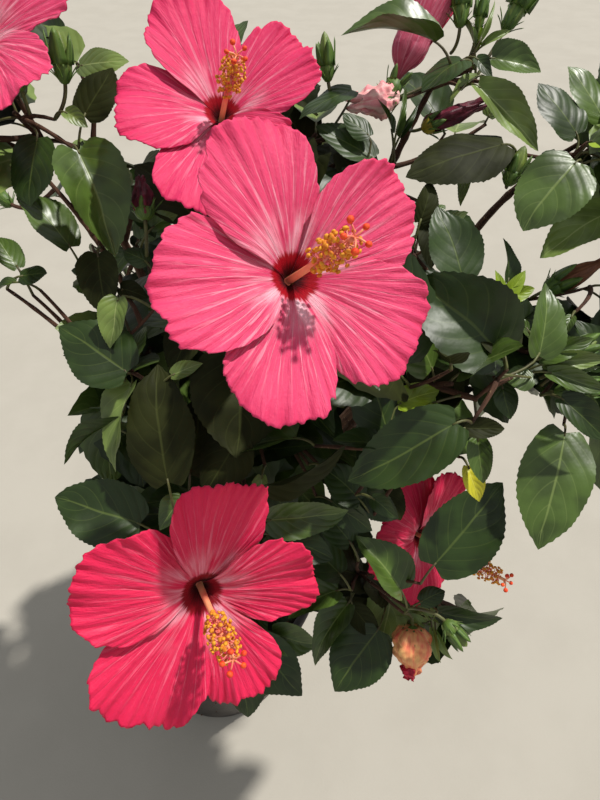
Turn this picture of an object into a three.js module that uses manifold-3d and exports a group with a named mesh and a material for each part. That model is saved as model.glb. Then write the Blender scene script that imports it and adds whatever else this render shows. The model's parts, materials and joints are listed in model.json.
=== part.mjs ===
// A hibiscus shrub in flower, in a plain round pot. Millimetres, +Z up, origin under the middle of the pot.
// Trunk and boughs are tapering limbs. Each mass of foliage is one solid: a leader that carries on from
// its bough, laterals, leaves, buds and large blooms, all fused, grown by a seeded rule in its own space.
import * as THREE from 'three';
import { mergeVertices } from 'three/addons/utils/BufferGeometryUtils.js';
import Module from 'manifold-3d';

const wasm = await Module();
wasm.setup();

const GAP = 0.35; // between neighbouring solids
const UP = new THREE.Vector3(0, 0, 1);
const DEG = Math.PI / 180;
const GOLDEN_ANGLE = 137.5 * DEG; // from one leaf to the next round a twig

const POT = {
  topRadius: 165, baseRadius: 122, height: 300, wall: 5, floor: 8,
  rimHeight: 26, rimOut: 8, soilDrop: 32, sides: 28,
};
const SOIL_TOP = POT.height - POT.soilDrop;

const TRUNK = {
  tip: [50, 46, 500], footRadius: 17, tipRadius: 11, flare: 10, flareHeight: 0.16, sides: 12, steps: 8,
};
const BOUGH = { sides: 6, steps: 5, splay: 0.55 };

// Each bough: the limb it leaves, how far along that limb, its tip, and its radius at foot and tip.
const BOUGHS = [
  { name: 'centre', from: 'trunk', at: 1, tip: [96, -22, 690], radius: [10, 5.2] },
  { name: 'right', from: 'trunk', at: 0.86, tip: [228, -38, 728], radius: [8.6, 4.8] },
  { name: 'front_right', from: 'trunk', at: 0.66, tip: [196, -128, 590], radius: [7, 4.2] },
  { name: 'left', from: 'trunk', at: 0.56, tip: [2, -56, 690], radius: [6.6, 4.2] },
  { name: 'front_left', from: 'trunk', at: 0.34, tip: [22, -92, 560], radius: [6.4, 4.2] },
  { name: 'back', from: 'trunk', at: 0.46, tip: [92, 150, 690], radius: [6.6, 4.4] },
  { name: 'back_left', from: 'trunk', at: 0.74, tip: [-44, 88, 716], radius: [6.6, 4.4] },
  { name: 'back_right', from: 'right', at: 0.3, tip: [196, 112, 716], radius: [5.8, 4.2] },
  { name: 'upper_right', from: 'right', at: 0.62, tip: [292, 22, 836], radius: [5.4, 4] },
  { name: 'right_centre', from: 'right', at: 0.46, tip: [196, -84, 726], radius: [5.2, 4] },
  { name: 'top', from: 'centre', at: 0.72, tip: [206, 58, 850], radius: [5.2, 4] },
  { name: 'top_centre', from: 'centre', at: 0.56, tip: [112, 40, 830], radius: [5.4, 4] },
  { name: 'upper_left', from: 'centre', at: 0.34, tip: [-4, 10, 826], radius: [5.6, 4] },
  { name: 'low_front', from: 'trunk', at: 0.22, tip: [46, -58, 420], radius: [5.4, 4] },
  { name: 'low_back', from: 'trunk', at: 0.28, tip: [34, 112, 500], radius: [5.6, 4] },
  { name: 'low_right', from: 'trunk', at: 0.5, tip: [136, 62, 536], radius: [5.6, 4] },
];

// Each mass: the bough that it carries on from, the middle of its space, and the tip of its leader.
const MASSES = [
  { name: 'centre', middle: [140, -128, 780], tip: [132, -150, 880], seed: 11 },
  { name: 'right', middle: [352, -122, 815], tip: [356, -122, 842], seed: 24 },
  { name: 'front_right', middle: [262, -205, 610], tip: [282, -214, 604], seed: 33 },
  { name: 'left', middle: [-8, -112, 800], tip: [-24, -138, 856], seed: 44 },
  { name: 'front_left', middle: [30, -178, 680], tip: [42, -224, 728], seed: 55 },
  { name: 'back', middle: [108, 196, 780], tip: [112, 214, 838], seed: 66 },
  { name: 'back_left', middle: [-104, 112, 830], tip: [-128, 124, 890], seed: 77 },
  { name: 'back_right', middle: [262, 172, 790], tip: [282, 186, 842], seed: 88 },
  { name: 'upper_right', middle: [362, 34, 915], tip: [384, 34, 948], seed: 99 },
  { name: 'right_centre', middle: [240, -150, 820], tip: [252, -172, 862], seed: 113 },
  { name: 'top', middle: [256, 68, 960], tip: [268, 70, 1004], seed: 121 },
  { name: 'top_centre', middle: [122, 24, 930], tip: [128, 14, 966], seed: 132 },
  { name: 'upper_left', middle: [-40, -8, 930], tip: [-66, -16, 990], seed: 143 },
  { name: 'low_front', middle: [70, -112, 480], tip: [84, -128, 500], seed: 154 },
  { name: 'low_back', middle: [52, 160, 590], tip: [46, 176, 614], seed: 165 },
  { name: 'low_right', middle: [200, 76, 596], tip: [214, 84, 612], seed: 176 },
];

// Each bloom: the mass that carries it, its throat, the way it faces, its radius, its turn and, where it
// isn't wide open, how far it opens.
const BLOOMS = [
  { mass: 'centre', throat: [140, -221, 980], facing: [0.385, -0.615, 0.686], radius: 76, turn: 97 },
  { mass: 'top_centre', throat: [90, -40, 992], facing: [0.22, -0.53, 0.813], radius: 73, turn: 105 },
  { mass: 'front_left', throat: [85, -300, 815], facing: [0.37, -0.82, 0.438], radius: 75, turn: 80 },
  { mass: 'upper_left', throat: [-62, -34, 1034], facing: [-0.05, -0.5, 0.86], radius: 70, turn: 60 },
  { mass: 'top', throat: [226, 66, 1008], facing: [0.38, 0.566, 0.707], radius: 68, turn: 20, open: 0.62 },
  {
    mass: 'front_right', throat: [252, -172, 672], facing: [0.85, -0.5, -0.07], radius: 62, turn: 40,
    open: 0.8,
  },
  { mass: 'back', throat: [116, 262, 812], facing: [0.1, 0.72, 0.68], radius: 72, turn: 10 },
  { mass: 'back_left', throat: [-168, 150, 850], facing: [-0.72, 0.42, 0.55], radius: 70, turn: 75 },
];
// Spindles that stand on the shoots: furled and spent blooms first, then green buds.
const SPINDLES = [
  { mass: 'front_right', at: [252, -238, 588], heading: [0, -0.7, -0.7], length: 34, radius: 13 },
  { mass: 'top', at: [228, 26, 952], heading: [-0.9, -0.1, 0.4], length: 46, radius: 8 },
  { mass: 'top', at: [286, 38, 944], heading: [0.9, -0.2, 0.3], length: 44, radius: 8 },
  { mass: 'upper_right', at: [402, -14, 872], heading: [0.9, -0.2, 0.4], length: 36, radius: 6 },
  { mass: 'upper_left', at: [-52, -20, 1006], heading: [0.1, -0.2, 0.97], length: 26, radius: 6 },
  { mass: 'back_right', at: [300, 204, 850], heading: [0.4, 0.3, 0.86], length: 26, radius: 6 },
  { mass: 'right', at: [368, -140, 862], heading: [0.2, -0.3, 0.93], length: 26, radius: 6 },
];

const LEADER = { bareUntil: 0.3, sides: 4, steps: 4, tipRadius: 1.9 };
const LATERAL = {
  count: 5, length: 112, angle: 58 * DEG, bareUntil: 0.2, footRadius: 2.5, tipRadius: 1.5, sides: 3, steps: 2,
};
const LEAF = {
  length: 90, widthShare: 0.74, thickShare: 0.022, droop: 0.16, internode: 25,
  petiole: 22, neckRadius: 1.5, sunk: 1.5, widestAt: 0.4, tries: 8, apart: 45, most: 17, samples: 4,
};
const BLOOM = {
  petals: 5, sidesPerPetal: 4, notch: 0.26, cup: 24, wave: 5, thickness: 2, draw: 0.9,
  calyx: 24, stalk: 2.1, stalkAt: 0.84,
};
const COLUMN = { length: 82, radius: 2.3, brushFrom: 0.5, brushRadius: 7, sides: 5, offTurn: 0.13 };
const CROWN_AXIS = { x: 110, y: 0 };
const LOWEST_LEAF = 345;
const CLEAR = { wall: 1.2, limb: 4, bloom: 5 };

const COLOURS = {
  pot: 0x3a3634, soil: 0x33261d, bark: 0x5d4334, foliage: 0x2f5230,
};

/** Numbers from 0 to 1 that repeat for the same seed. */
function seeded(seed) {
  let state = seed >>> 0;
  return () => {
    state = (state + 0x6d2b79f5) >>> 0;
    let mixed = Math.imul(state ^ (state >>> 15), state | 1);
    mixed = (mixed + Math.imul(mixed ^ (mixed >>> 7), mixed | 61)) ^ mixed;
    return ((mixed ^ (mixed >>> 14)) >>> 0) / 4294967296;
  };
}

const vector = (xyz) => new THREE.Vector3(...xyz);

/** The unit vector square to the axis, at a turn round it from the side that faces up. */
function sideways(axis, turn) {
  const reference = Math.abs(axis.z) > 0.95 ? new THREE.Vector3(1, 0, 0) : UP;
  const upper = reference.clone().addScaledVector(axis, -reference.dot(axis)).normalize();
  return upper.applyAxisAngle(axis, turn);
}

/** A closed geometry as a solid that can be joined and cut. */
function solidOf(geometry) {
  const bare = geometry.clone();
  bare.deleteAttribute('normal');
  bare.deleteAttribute('uv');
  const merged = mergeVertices(bare, 1e-4);
  return new wasm.Manifold(new wasm.Mesh({
    numProp: 3,
    vertProperties: new Float32Array(merged.attributes.position.array),
    triVerts: new Uint32Array(merged.index.array),
  }));
}

/** The largest whole piece of a solid, with sealed hollows filled and scraps dropped, as a geometry. */
function geometryOf(solid) {
  const largest = solid.decompose().reduce((best, piece) => (piece.volume() > best.volume() ? piece : best));
  const mesh = largest.getMesh();
  const geometry = new THREE.BufferGeometry();
  geometry.setAttribute('position', new THREE.BufferAttribute(new Float32Array(mesh.vertProperties), 3));
  geometry.setIndex(new THREE.BufferAttribute(new Uint32Array(mesh.triVerts), 1));
  geometry.computeVertexNormals();
  return geometry;
}

/** Moves every vertex of a geometry by a function that changes it in place. */
function warp(geometry, move) {
  const position = geometry.attributes.position;
  const point = new THREE.Vector3();
  for (let i = 0; i < position.count; i += 1) {
    point.fromBufferAttribute(position, i);
    move(point);
    position.setXYZ(i, point.x, point.y, point.z);
  }
  return geometry;
}

/** A closed tapering limb along a curve. radiusAt gives its radius at a share of its length. */
function limbGeometry(curve, radiusAt, sides, steps) {
  const frames = curve.computeFrenetFrames(steps, false);
  return warp(new THREE.CylinderGeometry(1, 1, 1, sides, steps), (point) => {
    const share = point.y + 0.5;
    const ring = Math.round(share * steps);
    const radius = radiusAt(share);
    const { x, z } = point;
    point.copy(curve.getPointAt(share))
      .addScaledVector(frames.normals[ring], x * radius)
      .addScaledVector(frames.binormals[ring], -z * radius);
  });
}

const taper = (foot, tip) => (share) => foot + (tip - foot) * share;

/** A curve that leaves a point along a heading and bends towards its tip. */
function shootCurve(start, heading, tip, reach = 0.5) {
  const middle = start.clone().addScaledVector(heading, start.distanceTo(tip) * reach);
  return new THREE.QuadraticBezierCurve3(start, middle, tip);
}

function potGeometry() {
  const { topRadius, baseRadius, height, wall, floor, rimHeight, rimOut, sides } = POT;
  const wallAt = (z) => baseRadius + ((topRadius - baseRadius) * z) / height;
  const rimFoot = height - rimHeight;
  const profile = [
    [0, 0], [wallAt(0), 0], [wallAt(rimFoot), rimFoot], [wallAt(rimFoot) + rimOut, rimFoot + 4],
    [topRadius + rimOut, height - 3], [topRadius + rimOut - 3, height], [topRadius - wall, height],
    [wallAt(floor) - wall, floor], [0, floor],
  ].map(([radius, z]) => new THREE.Vector2(radius, z));
  return new THREE.LatheGeometry(profile, sides).rotateX(Math.PI / 2);
}

function soilGeometry() {
  const { topRadius, baseRadius, height, wall, floor, sides } = POT;
  const innerAt = (z) => {
    const foot = baseRadius + ((topRadius - baseRadius) * floor) / height - wall;
    return foot + ((topRadius - wall - foot) * (z - floor)) / (height - floor) - GAP;
  };
  const bottom = floor + GAP;
  const profile = [[0, bottom], [innerAt(bottom), bottom], [innerAt(SOIL_TOP), SOIL_TOP], [0, SOIL_TOP]]
    .map(([radius, z]) => new THREE.Vector2(radius, z));
  return new THREE.LatheGeometry(profile, sides).rotateX(Math.PI / 2);
}

/** The trunk's curve, which leaves the soil upright and leans to its fork. */
function trunkLimb() {
  const foot = new THREE.Vector3(0, 0, SOIL_TOP + GAP);
  const curve = shootCurve(foot, UP, vector(TRUNK.tip));
  const straight = taper(TRUNK.footRadius, TRUNK.tipRadius);
  const radiusAt = (share) => straight(share) + TRUNK.flare * Math.max(0, 1 - share / TRUNK.flareHeight) ** 2;
  const { tipRadius, sides, steps } = TRUNK;
  return { curve, radiusAt, tipRadius, sides, steps };
}

/** A bough's curve. One from the very tip of its parent carries straight on, and others leave splayed out. */
function boughLimb(bough, parents) {
  const parent = parents.get(bough.from);
  const along = parent.curve.getTangentAt(bough.at);
  const start = parent.curve.getPointAt(bough.at);
  const tip = vector(bough.tip);
  const heading = tip.clone().sub(start).normalize();
  if (bough.at === 1) {
    start.addScaledVector(along, GAP);
    heading.copy(along);
  } else {
    heading.addScaledVector(new THREE.Vector3(heading.x, heading.y, 0), BOUGH.splay).normalize();
  }
  const [foot, end] = bough.radius;
  return {
    parent: bough.at === 1 ? null : parent, curve: shootCurve(start, heading, tip),
    radiusAt: taper(foot, end), tipRadius: end, sides: BOUGH.sides, steps: BOUGH.steps,
  };
}

/** A limb's solid, cut clear of the limb that it leaves. */
function limbSolid(limb) {
  const own = solidOf(limbGeometry(limb.curve, limb.radiusAt, limb.sides, limb.steps));
  if (!limb.parent) return own;
  const { curve, radiusAt, sides, steps } = limb.parent;
  return own.subtract(solidOf(limbGeometry(curve, (share) => radiusAt(share) + GAP, sides, steps)));
}

/** Points along a limb, each with the radius there, for telling what is clear of it. */
function limbPoints(limb, count = 16) {
  return Array.from({ length: count + 1 }, (_, i) => ({
    point: limb.curve.getPointAt(i / count), radius: limb.radiusAt(i / count),
    half: limb.curve.getLength() / count / 2,
  }));
}

/** How much of a wide open bloom's spread is missing, from 0 to 1. */
const closing = (bloom) => 1 - (bloom.open ?? 1);

/** The bloom's frame: its facing, and two directions across it, turned round by its turn. */
function bloomFrame(bloom) {
  const facing = vector(bloom.facing).normalize();
  const level = new THREE.Vector3().crossVectors(UP, facing).normalize();
  const across = level.applyAxisAngle(facing, bloom.turn * DEG);
  return { facing, across, upright: new THREE.Vector3().crossVectors(facing, across) };
}

const fromFrame = ({ across, upright, facing }, origin) => (point) => {
  const { x, y, z } = point;
  point.copy(origin).addScaledVector(across, x).addScaledVector(upright, y).addScaledVector(facing, z);
};

/** Five overlapping petals as one thin cup with a lobed edge, closed at the calyx behind it. */
function corollaGeometry(bloom) {
  const { petals, sidesPerPetal, notch, cup, wave, thickness, calyx } = BLOOM;
  const rim = bloom.radius;
  const profile = [
    [0, -calyx], [7, 3 - calyx], [15, 8], [0.5 * rim, cup - thickness], [rim, cup - thickness],
    [rim, cup], [0.5 * rim, cup], [15, 12], [0, 3],
  ].map(([radius, height]) => new THREE.Vector2(radius, height));
  const geometry = new THREE.LatheGeometry(profile, petals * sidesPerPetal).rotateX(Math.PI / 2);
  return warp(geometry, (point) => {
    const radius = Math.hypot(point.x, point.y);
    const angle = Math.atan2(point.y, point.x);
    const outward = Math.max(0, (radius - 15) / (rim - 15));
    const lobe = 1 - notch * outward * (1 - Math.abs(Math.cos((petals * angle) / 2)) ** 0.6);
    const spread = radius * lobe * (radius > 15 ? 1 - closing(bloom) * BLOOM.draw : 1);
    point.z += wave * outward * Math.sin(petals * angle) + closing(bloom) * outward * rim * BLOOM.draw;
    point.x = spread * Math.cos(angle);
    point.y = spread * Math.sin(angle);
  });
}

/** The staminal column with its brush of anthers. */
function columnGeometry() {
  const { length, radius, brushFrom, brushRadius, sides, offTurn } = COLUMN;
  const profile = [
    [0, 1], [radius, 2], [radius, length * brushFrom], [brushRadius, length * (brushFrom + 0.1)],
    [brushRadius * 0.8, length * 0.86], [radius * 0.8, length * 0.92], [4, length], [0, length + 1],
  ].map(([r, height]) => new THREE.Vector2(r, height));
  return new THREE.LatheGeometry(profile, sides).rotateX(Math.PI / 2).rotateZ(offTurn);
}

/** Where a bloom's stalk ends, inside its calyx. */
function stalkEnd(bloom) {
  return vector(bloom.throat).addScaledVector(bloomFrame(bloom).facing, 8 - BLOOM.calyx);
}

/** A stalk that leaves the leader's last third and curves into the calyx. */
function stalkLimb(bloom, leader) {
  const end = stalkEnd(bloom);
  const start = leader.getPointAt(BLOOM.stalkAt);
  const { facing } = bloomFrame(bloom);
  const middle = end.clone().addScaledVector(facing, -0.4 * start.distanceTo(end));
  const curve = new THREE.QuadraticBezierCurve3(start, middle, end);
  return { curve, radiusAt: () => BLOOM.stalk, sides: 4, steps: 4 };
}

/** A bud or a furled bloom: a spindle of eight faces, its foot at the origin, along +Z. */
function spindleGeometry(length, radius) {
  return warp(new THREE.OctahedronGeometry(1, 0), (point) => {
    point.set(point.x * radius, point.y * radius, point.z > 0.5 ? length : point.z * 4 + 4);
    if (point.z === 4) point.z = length * 0.42;
  });
}

/** A leaf with its stalk, twelve faces: a point in the twig, a neck, the widest part and the tip. */
function leafGeometry(leaf) {
  const { length } = leaf;
  const { widestAt, widthShare, thickShare, neckRadius } = LEAF;
  const across = new THREE.Vector3().crossVectors(leaf.normal, leaf.along).normalize();
  const neck = { run: 0, half: neckRadius, keel: neckRadius };
  const widest = { run: widestAt * length, half: (widthShare * length) / 2, keel: thickShare * length };
  return warp(new THREE.SphereGeometry(1, 3, 3), (point) => {
    const { x, y, z } = point;
    if (y < -0.9) {
      point.copy(leaf.root);
      return;
    }
    if (y > 0.9) {
      point.copy(leaf.base).addScaledVector(leaf.along, length)
        .addScaledVector(leaf.normal, -LEAF.droop * length);
      return;
    }
    const { run, half, keel } = y < 0 ? neck : widest;
    const side = Math.round(z);
    const lift = (x < -0.1 ? -keel : 0) - (LEAF.droop * run * run) / length;
    point.copy(leaf.base).addScaledVector(leaf.along, run)
      .addScaledVector(across, side * half).addScaledVector(leaf.normal, lift);
  });
}

/** True if a point is in a mass's own space: nearer its middle than any other's, and above the pot. */
function inSpace(mass, point) {
  if (point.z < LOWEST_LEAF) return false;
  return MASSES.every((other) => {
    if (other === mass) return true;
    const own = vector(mass.middle);
    const away = vector(other.middle).sub(own);
    return point.clone().sub(own).dot(away) / away.length() < away.length() / 2 - CLEAR.wall;
  });
}

/** True if a point lies in the space that a bloom's petals and column fill. */
function inBloom(bloom, point) {
  const { facing } = bloomFrame(bloom);
  const offset = point.clone().sub(vector(bloom.throat));
  const height = offset.dot(facing);
  const reach = offset.addScaledVector(facing, -height).length();
  const depth = BLOOM.cup + BLOOM.wave + closing(bloom) * bloom.radius * BLOOM.draw;
  const within = (low, high, radius) => height > low - CLEAR.bloom && height < high + CLEAR.bloom
    && reach < radius + CLEAR.bloom;
  const inPetals = within(0, depth, bloom.radius);
  const inMiddle = within(-BLOOM.calyx, COLUMN.length, COLUMN.brushRadius);
  return inPetals || inMiddle;
}

/** True if every point is in the mass's space and clear of the blooms and of the given limbs. */
function fits(mass, points, obstacles) {
  return points.every((point) => inSpace(mass, point)
    && !BLOOMS.some((bloom) => inBloom(bloom, point))
    && obstacles.every(({ point: centre, radius, half }) => (
      point.distanceTo(centre) > Math.hypot(radius + CLEAR.limb, half))));
}

function curvePoints(curve, count = 6) {
  return Array.from({ length: count }, (_, i) => curve.getPointAt((i + 1) / count));
}

/** Laterals round the leader at the golden angle, shortened or turned until they fit. */
function growLaterals(mass, leader, obstacles, random) {
  const laterals = [];
  for (let i = 0; i < LATERAL.count; i += 1) {
    const share = 0.16 + (0.78 * (i + 0.5)) / LATERAL.count;
    const start = leader.getPointAt(share);
    const along = leader.getTangentAt(share);
    const outward = new THREE.Vector3(start.x - CROWN_AXIS.x, start.y - CROWN_AXIS.y, 0).normalize();
    let turn = i * GOLDEN_ANGLE + random() * 0.7;
    let length = LATERAL.length * (1.1 - 0.4 * share) * (0.85 + 0.3 * random());
    for (let attempt = 0; attempt < LEAF.tries; attempt += 1) {
      const heading = sideways(along, turn).multiplyScalar(Math.sin(LATERAL.angle))
        .addScaledVector(along, Math.cos(LATERAL.angle)).addScaledVector(outward, 0.25).normalize();
      const tip = start.clone().addScaledVector(heading, length * 0.86).addScaledVector(UP, length * 0.22);
      const curve = shootCurve(start, heading, tip);
      if (fits(mass, curvePoints(curve), obstacles)) {
        laterals.push(curve);
        break;
      }
      turn += 1.3;
      length *= 0.88;
    }
  }
  return laterals;
}

/** Points all over a leaf's blade, from its base over both edges to its tip. */
function bladePoints(leaf) {
  const across = new THREE.Vector3().crossVectors(leaf.normal, leaf.along);
  const points = [];
  for (let i = 0; i <= LEAF.samples; i += 1) {
    for (let j = 0; j <= LEAF.samples; j += 1) {
      const [left, right] = [i / LEAF.samples, j / LEAF.samples];
      const run = leaf.length * (left + right) * 0.5;
      points.push(leaf.base.clone().addScaledVector(leaf.along, run)
        .addScaledVector(across, (left - right) * 0.5 * LEAF.widthShare * leaf.length)
        .addScaledVector(leaf.normal, (-LEAF.droop * run * run) / leaf.length));
    }
  }
  return points;
}

/** Adds leaves along a twig, alternate, the last one at its tip, each well apart from those before it. */
function growLeaves(leaves, mass, twig, bareUntil, obstacles, random) {
  const length = twig.getLength();
  const count = Math.max(1, Math.round((length * (1 - bareUntil)) / LEAF.internode));
  for (let i = 0; i <= count && leaves.length < LEAF.most; i += 1) {
    const atTip = i === count;
    const share = atTip ? 0.97 : bareUntil + ((1 - bareUntil) * (i + 0.4)) / count;
    const root = twig.getPointAt(share);
    const along = twig.getTangentAt(share);
    let turn = i * GOLDEN_ANGLE + random() * 0.8;
    let size = LEAF.length * (0.84 + 0.32 * random()) * (atTip ? 0.72 : 1.04 - 0.2 * share);
    for (let attempt = 0; attempt < LEAF.tries; attempt += 1) {
      const spread = atTip ? 0.35 : 0.95;
      const side = sideways(along, turn);
      const heading = side.clone().multiplyScalar(spread).addScaledVector(along, 0.5)
        .addScaledVector(UP, 0.06).normalize();
      const base = root.clone().addScaledVector(heading, (LEAF.petiole * size) / LEAF.length);
      const blade = heading.clone().addScaledVector(UP, -0.28).normalize();
      const facing = UP.clone().addScaledVector(side, 0.3).addScaledVector(vector([0.05, -0.25, 0]), 1);
      const normal = facing.addScaledVector(blade, -facing.dot(blade)).normalize();
      const sunk = root.clone().addScaledVector(heading, -LEAF.sunk);
      const leaf = { root: sunk, base, along: blade, normal, length: size };
      const middle = base.clone().addScaledVector(blade, size * 0.45);
      const crowded = leaves.some((other) => other.middle.distanceTo(middle) < LEAF.apart);
      if (!crowded && fits(mass, bladePoints(leaf), obstacles)) {
        leaves.push({ ...leaf, middle });
        break;
      }
      turn += 1.1;
      size *= 0.93;
    }
  }
}

/** A spindle with a short stalk from the nearest point of the mass's twigs. */
function spindleParts(spindle, twigs) {
  const foot = vector(spindle.at);
  const heading = vector(spindle.heading).normalize();
  const away = (point) => point.distanceTo(foot);
  const starts = twigs.flatMap((twig) => curvePoints(twig, 8));
  const start = starts.reduce((best, point) => (away(point) < away(best) ? point : best));
  const end = foot.clone().addScaledVector(heading, spindle.length * 0.4);
  const stalk = new THREE.QuadraticBezierCurve3(start, foot, end);
  const turn = new THREE.Quaternion().setFromUnitVectors(UP, heading);
  const body = spindleGeometry(spindle.length, spindle.radius).applyQuaternion(turn).translate(...foot);
  return [limbGeometry(stalk, () => 1.5, 3, 3), body];
}

/** One mass of foliage, fused: leader, laterals, leaves, blooms and buds. */
function massGeometry(mass, limbs, leaders, stalks) {
  const random = seeded(mass.seed);
  const leader = leaders.get(mass.name);
  const others = [...leaders].filter(([name]) => name !== mass.name)
    .map(([, curve]) => ({ curve, radiusAt: () => 4 }));
  const obstacles = [...limbs.values(), ...others, ...stalks.filter((stalk) => stalk.mass !== mass.name)]
    .flatMap((limb) => limbPoints(limb));
  const laterals = growLaterals(mass, leader, obstacles, random);
  const parts = [limbGeometry(leader, taper(limbs.get(mass.name).tipRadius, LEADER.tipRadius),
    LEADER.sides, LEADER.steps)];
  laterals.forEach((curve) => parts.push(
    limbGeometry(curve, taper(LATERAL.footRadius, LATERAL.tipRadius), LATERAL.sides, LATERAL.steps)));
  const leaves = [];
  const twigs = [leader, ...laterals];
  twigs.forEach((twig) => {
    const bareUntil = twig === leader ? LEADER.bareUntil : LATERAL.bareUntil;
    const between = twigs.filter((other) => other !== twig)
      .flatMap((curve) => limbPoints({ curve, radiusAt: () => LATERAL.tipRadius - CLEAR.limb }));
    growLeaves(leaves, mass, twig, bareUntil, [...obstacles, ...between], random);
  });
  leaves.forEach((leaf) => parts.push(leafGeometry(leaf)));
  BLOOMS.filter((bloom) => bloom.mass === mass.name).forEach((bloom) => {
    const place = fromFrame(bloomFrame(bloom), vector(bloom.throat));
    parts.push(warp(corollaGeometry(bloom), place), warp(columnGeometry(), place));
    const stalk = stalkLimb(bloom, leader);
    parts.push(limbGeometry(stalk.curve, stalk.radiusAt, stalk.sides, stalk.steps));
  });
  SPINDLES.filter((spindle) => spindle.mass === mass.name)
    .forEach((spindle) => parts.push(...spindleParts(spindle, twigs)));
  return geometryOf(parts.map(solidOf).reduce((whole, part) => whole.add(part)));
}

function named(name, geometry, color, roughness = 0.7) {
  const mesh = new THREE.Mesh(geometry, new THREE.MeshStandardMaterial({ color, roughness, metalness: 0 }));
  mesh.name = name;
  return mesh;
}

function buildShrub() {
  const shrub = new THREE.Group();
  shrub.add(named('pot', potGeometry(), COLOURS.pot, 0.6), named('soil', soilGeometry(), COLOURS.soil, 1));
  const limbs = new Map([['trunk', trunkLimb()]]);
  BOUGHS.forEach((bough) => limbs.set(bough.name, boughLimb(bough, limbs)));
  limbs.forEach((limb, name) => {
    const label = name === 'trunk' ? 'trunk' : `bough_${name}`;
    shrub.add(named(label, geometryOf(limbSolid(limb)), COLOURS.bark, 0.85));
  });
  const leaders = new Map(MASSES.map((mass) => {
    const { curve } = limbs.get(mass.name);
    const heading = curve.getTangentAt(1);
    const start = curve.getPointAt(1).addScaledVector(heading, GAP);
    return [mass.name, shootCurve(start, heading, vector(mass.tip))];
  }));
  const stalks = BLOOMS.map((bloom) => ({ ...stalkLimb(bloom, leaders.get(bloom.mass)), mass: bloom.mass }));
  MASSES.forEach((mass) => shrub.add(
    named(`foliage_${mass.name}`, massGeometry(mass, limbs, leaders, stalks), COLOURS.foliage)));
  return shrub;
}

export default buildShrub();
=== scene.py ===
"""Looks of a potted hibiscus shrub in flower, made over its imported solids.

Sizes are in millimetres, +Z up, origin under the middle of the pot, and become metres when a mesh is made.
The limbs, the twigs and the leaves follow the same seeded rule as the solids, carried to finer twigs.
"""
from __future__ import annotations

import json
import logging
import math
from dataclasses import dataclass, field, replace
from enum import Enum
from functools import cached_property

import bpy
import numpy as np
from mathutils import Matrix, Vector, noise

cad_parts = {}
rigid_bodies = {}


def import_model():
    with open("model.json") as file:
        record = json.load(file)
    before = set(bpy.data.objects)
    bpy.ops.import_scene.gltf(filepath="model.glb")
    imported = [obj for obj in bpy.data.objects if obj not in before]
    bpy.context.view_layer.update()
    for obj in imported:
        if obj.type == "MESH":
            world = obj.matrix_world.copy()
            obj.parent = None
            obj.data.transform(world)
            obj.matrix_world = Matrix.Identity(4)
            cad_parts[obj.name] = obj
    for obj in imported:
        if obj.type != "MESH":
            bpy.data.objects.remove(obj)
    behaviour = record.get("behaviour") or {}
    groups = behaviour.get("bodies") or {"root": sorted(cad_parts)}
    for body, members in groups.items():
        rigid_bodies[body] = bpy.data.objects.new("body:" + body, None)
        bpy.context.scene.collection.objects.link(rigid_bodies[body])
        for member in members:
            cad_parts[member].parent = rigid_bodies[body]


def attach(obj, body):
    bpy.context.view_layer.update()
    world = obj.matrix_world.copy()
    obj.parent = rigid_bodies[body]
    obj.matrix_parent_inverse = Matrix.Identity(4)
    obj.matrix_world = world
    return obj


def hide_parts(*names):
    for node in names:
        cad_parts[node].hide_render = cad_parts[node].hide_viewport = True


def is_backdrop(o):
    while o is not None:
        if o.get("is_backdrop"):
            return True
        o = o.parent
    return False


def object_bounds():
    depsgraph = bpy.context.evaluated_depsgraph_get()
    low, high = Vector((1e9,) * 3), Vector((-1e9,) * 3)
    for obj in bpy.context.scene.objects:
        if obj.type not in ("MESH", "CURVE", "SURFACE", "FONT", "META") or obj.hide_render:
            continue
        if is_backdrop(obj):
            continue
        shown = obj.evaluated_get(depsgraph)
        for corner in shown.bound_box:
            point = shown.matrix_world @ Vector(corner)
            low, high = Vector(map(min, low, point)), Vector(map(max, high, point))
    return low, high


LOG = logging.getLogger("hibiscus")

Array = np.ndarray
Thing = bpy.types.Object
Material = bpy.types.Material
Socket = bpy.types.NodeSocket
Triple = tuple[float, float, float]
Faces = list[tuple[int, ...]]
Tree = bpy.types.NodeTree

MM = 0.001
GAP = 0.35
MASK = 0xFFFFFFFF
DEG = math.pi / 180
FULL_TURN = 2 * math.pi
GOLDEN_ANGLE = 137.5 * DEG
UP = np.array((0.0, 0.0, 1.0))
FRAME_WIDTH = 600
FRAME_HEIGHT = 800

CROWN_AXIS = (110.0, 0.0)
LOWEST_LEAF = 345.0
CLEAR_WALL = 1.2
CLEAR_LIMB = 4.0
CLEAR_BLOOM = 5.0
CALYX_DEPTH = 24.0
CUP = 24.0
THROAT = 15.0
CORE_RADIUS = 7.0
DRAW = 0.9
COLUMN_LENGTH = 82.0
CURVE_STEPS = 201
POSTS = np.arange(17) / 16
AT_ORIGIN = Matrix.Identity(4)


def vec(*xyz: float) -> Array:
    """A vector from its three numbers."""
    return np.array(xyz, float)


def size_of(vector: Array) -> float:
    """A vector's length."""
    return float(np.linalg.norm(vector))


def unit(vector: Array) -> Array:
    """The vector at length one."""
    return vector / max(size_of(vector), 1e-12)


def turned(vector: Array, axis: Array, angle: float) -> Array:
    """The vector turned round a unit axis by an angle in radians."""
    cosine, sine = math.cos(angle), math.sin(angle)
    return vector * cosine + np.cross(axis, vector) * sine + axis * float(axis @ vector) * (1 - cosine)


def sideways(axis: Array, turn: float) -> Array:
    """The unit vector square to the axis, at a turn round it from the side that faces up."""
    reference = vec(1, 0, 0) if abs(axis[2]) > 0.95 else UP
    return turned(unit(reference - axis * float(reference @ axis)), axis, turn)


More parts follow.
